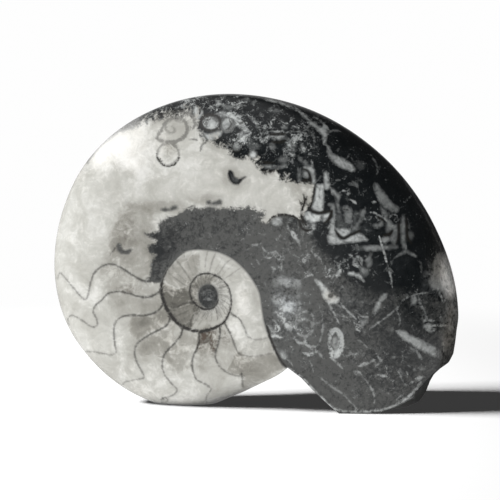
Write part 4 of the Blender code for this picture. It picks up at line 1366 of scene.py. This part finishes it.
def make_light(name, direction, distance, size, power, lit=None):
    """A flat light, so wide and so high, that the camera doesn't see. It shines on lit alone, or on everything."""
    data = bpy.data.lights.new(name, "AREA")
    data.shape = "RECTANGLE"
    data.size, data.size_y = size
    data.energy = power
    light = new_object(name, data)
    direction = Vector(direction).normalized()
    light.location = direction * distance + LIGHTS_AIM
    light.rotation_euler = direction.to_track_quat("Z", "Y").to_euler()
    light.visible_camera = False
    if lit:
        light.light_linking.receiver_collection = bpy.data.collections.new(name + "_lights")
        light.light_linking.receiver_collection.objects.link(lit)
    return light


def make_lights(stone, floor):
    """The key light on everything, its double on the table, and the fill on the stone."""
    key = make_light("key", KEY_FROM, KEY_DISTANCE, KEY_SIZE, KEY_POWER)
    key.visible_glossy = False
    make_light("table_key", KEY_FROM, KEY_DISTANCE, KEY_SIZE, TABLE_POWER, floor)
    fill = make_light("fill", FILL_FROM, FILL_DISTANCE, FILL_SIZE, FILL_POWER, stone)
    fill.visible_glossy = False


SURROUNDINGS_WHITE = 0.99
SURROUNDINGS_ON_DULL = 0.045
# Strengths of what the polish reflects, where the glare comes from, and the slope and height of the two straight
# parts of the sheet's top edge.
SHEET = 0.6
CEILING = 0.35
GLARE = 0.75
WALL = 0.5
ROOM = 0.03
GLARE_FROM = (-0.58, -0.50, 0.643)
SHEET_TOP = ((-0.51, -0.141), (-0.07, -0.0945))


def make_surroundings():
    """White to the camera, dim to a dull surface, and to the polish a dark room with a white sheet low in front
    of it, a ceiling, a window's glare and a pale wall behind."""
    world = bpy.data.worlds.new("studio")
    bpy.context.scene.world = world
    world.use_nodes = True
    world.cycles.sampling_method = "NONE"
    tree = world.node_tree
    place = tree.nodes.new("ShaderNodeTexCoord")
    split = tree.nodes.new("ShaderNodeSeparateXYZ")
    tree.links.new(place.outputs["Generated"], split.inputs[0])
    x, y, z = (Field(tree, split.outputs[k]) for k in range(3))
    ray = tree.nodes.new("ShaderNodeLightPath")
    diffuse_ray = Field(tree, ray.outputs["Is Diffuse Ray"])
    glossy_ray = Field(tree, ray.outputs["Is Glossy Ray"])

    steep, gentle = (x * slope + height for slope, height in SHEET_TOP)
    sheet = (z - steep.most(gentle)).rise(0.035, -0.035) * y.rise(0.2, -0.05) * SHEET
    ceiling = (z - x * 0.6).rise(0.7, 0.95) * CEILING
    glare = (x * GLARE_FROM[0] + y * GLARE_FROM[1] + z * GLARE_FROM[2]).rise(0.84, 0.99) * GLARE
    wall = y.rise(0.0, 0.2) * z.rise(0.75, 0.5) * x.rise(0.35, -0.15) * WALL
    reflected = sheet + ceiling + glare + wall + ROOM
    seen = (-diffuse_ray - glossy_ray + 1.0).clamped()
    strength = diffuse_ray * SURROUNDINGS_ON_DULL + glossy_ray * reflected + seen * SURROUNDINGS_WHITE
    tree.links.new(strength.socket, tree.nodes["Background"].inputs["Strength"])
    tree.nodes["Background"].inputs["Color"].default_value = (1.0, 1.0, 1.0, 1.0)


# ---------------------------------------------------------------- the scene

make_camera()
floor = make_floor()
make_surroundings()
stone = make_stone()
make_lights(stone, floor)
mark_stone(stone)
stone.data.materials.append(stone_material())
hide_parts("goniatite")
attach(stone, "root")
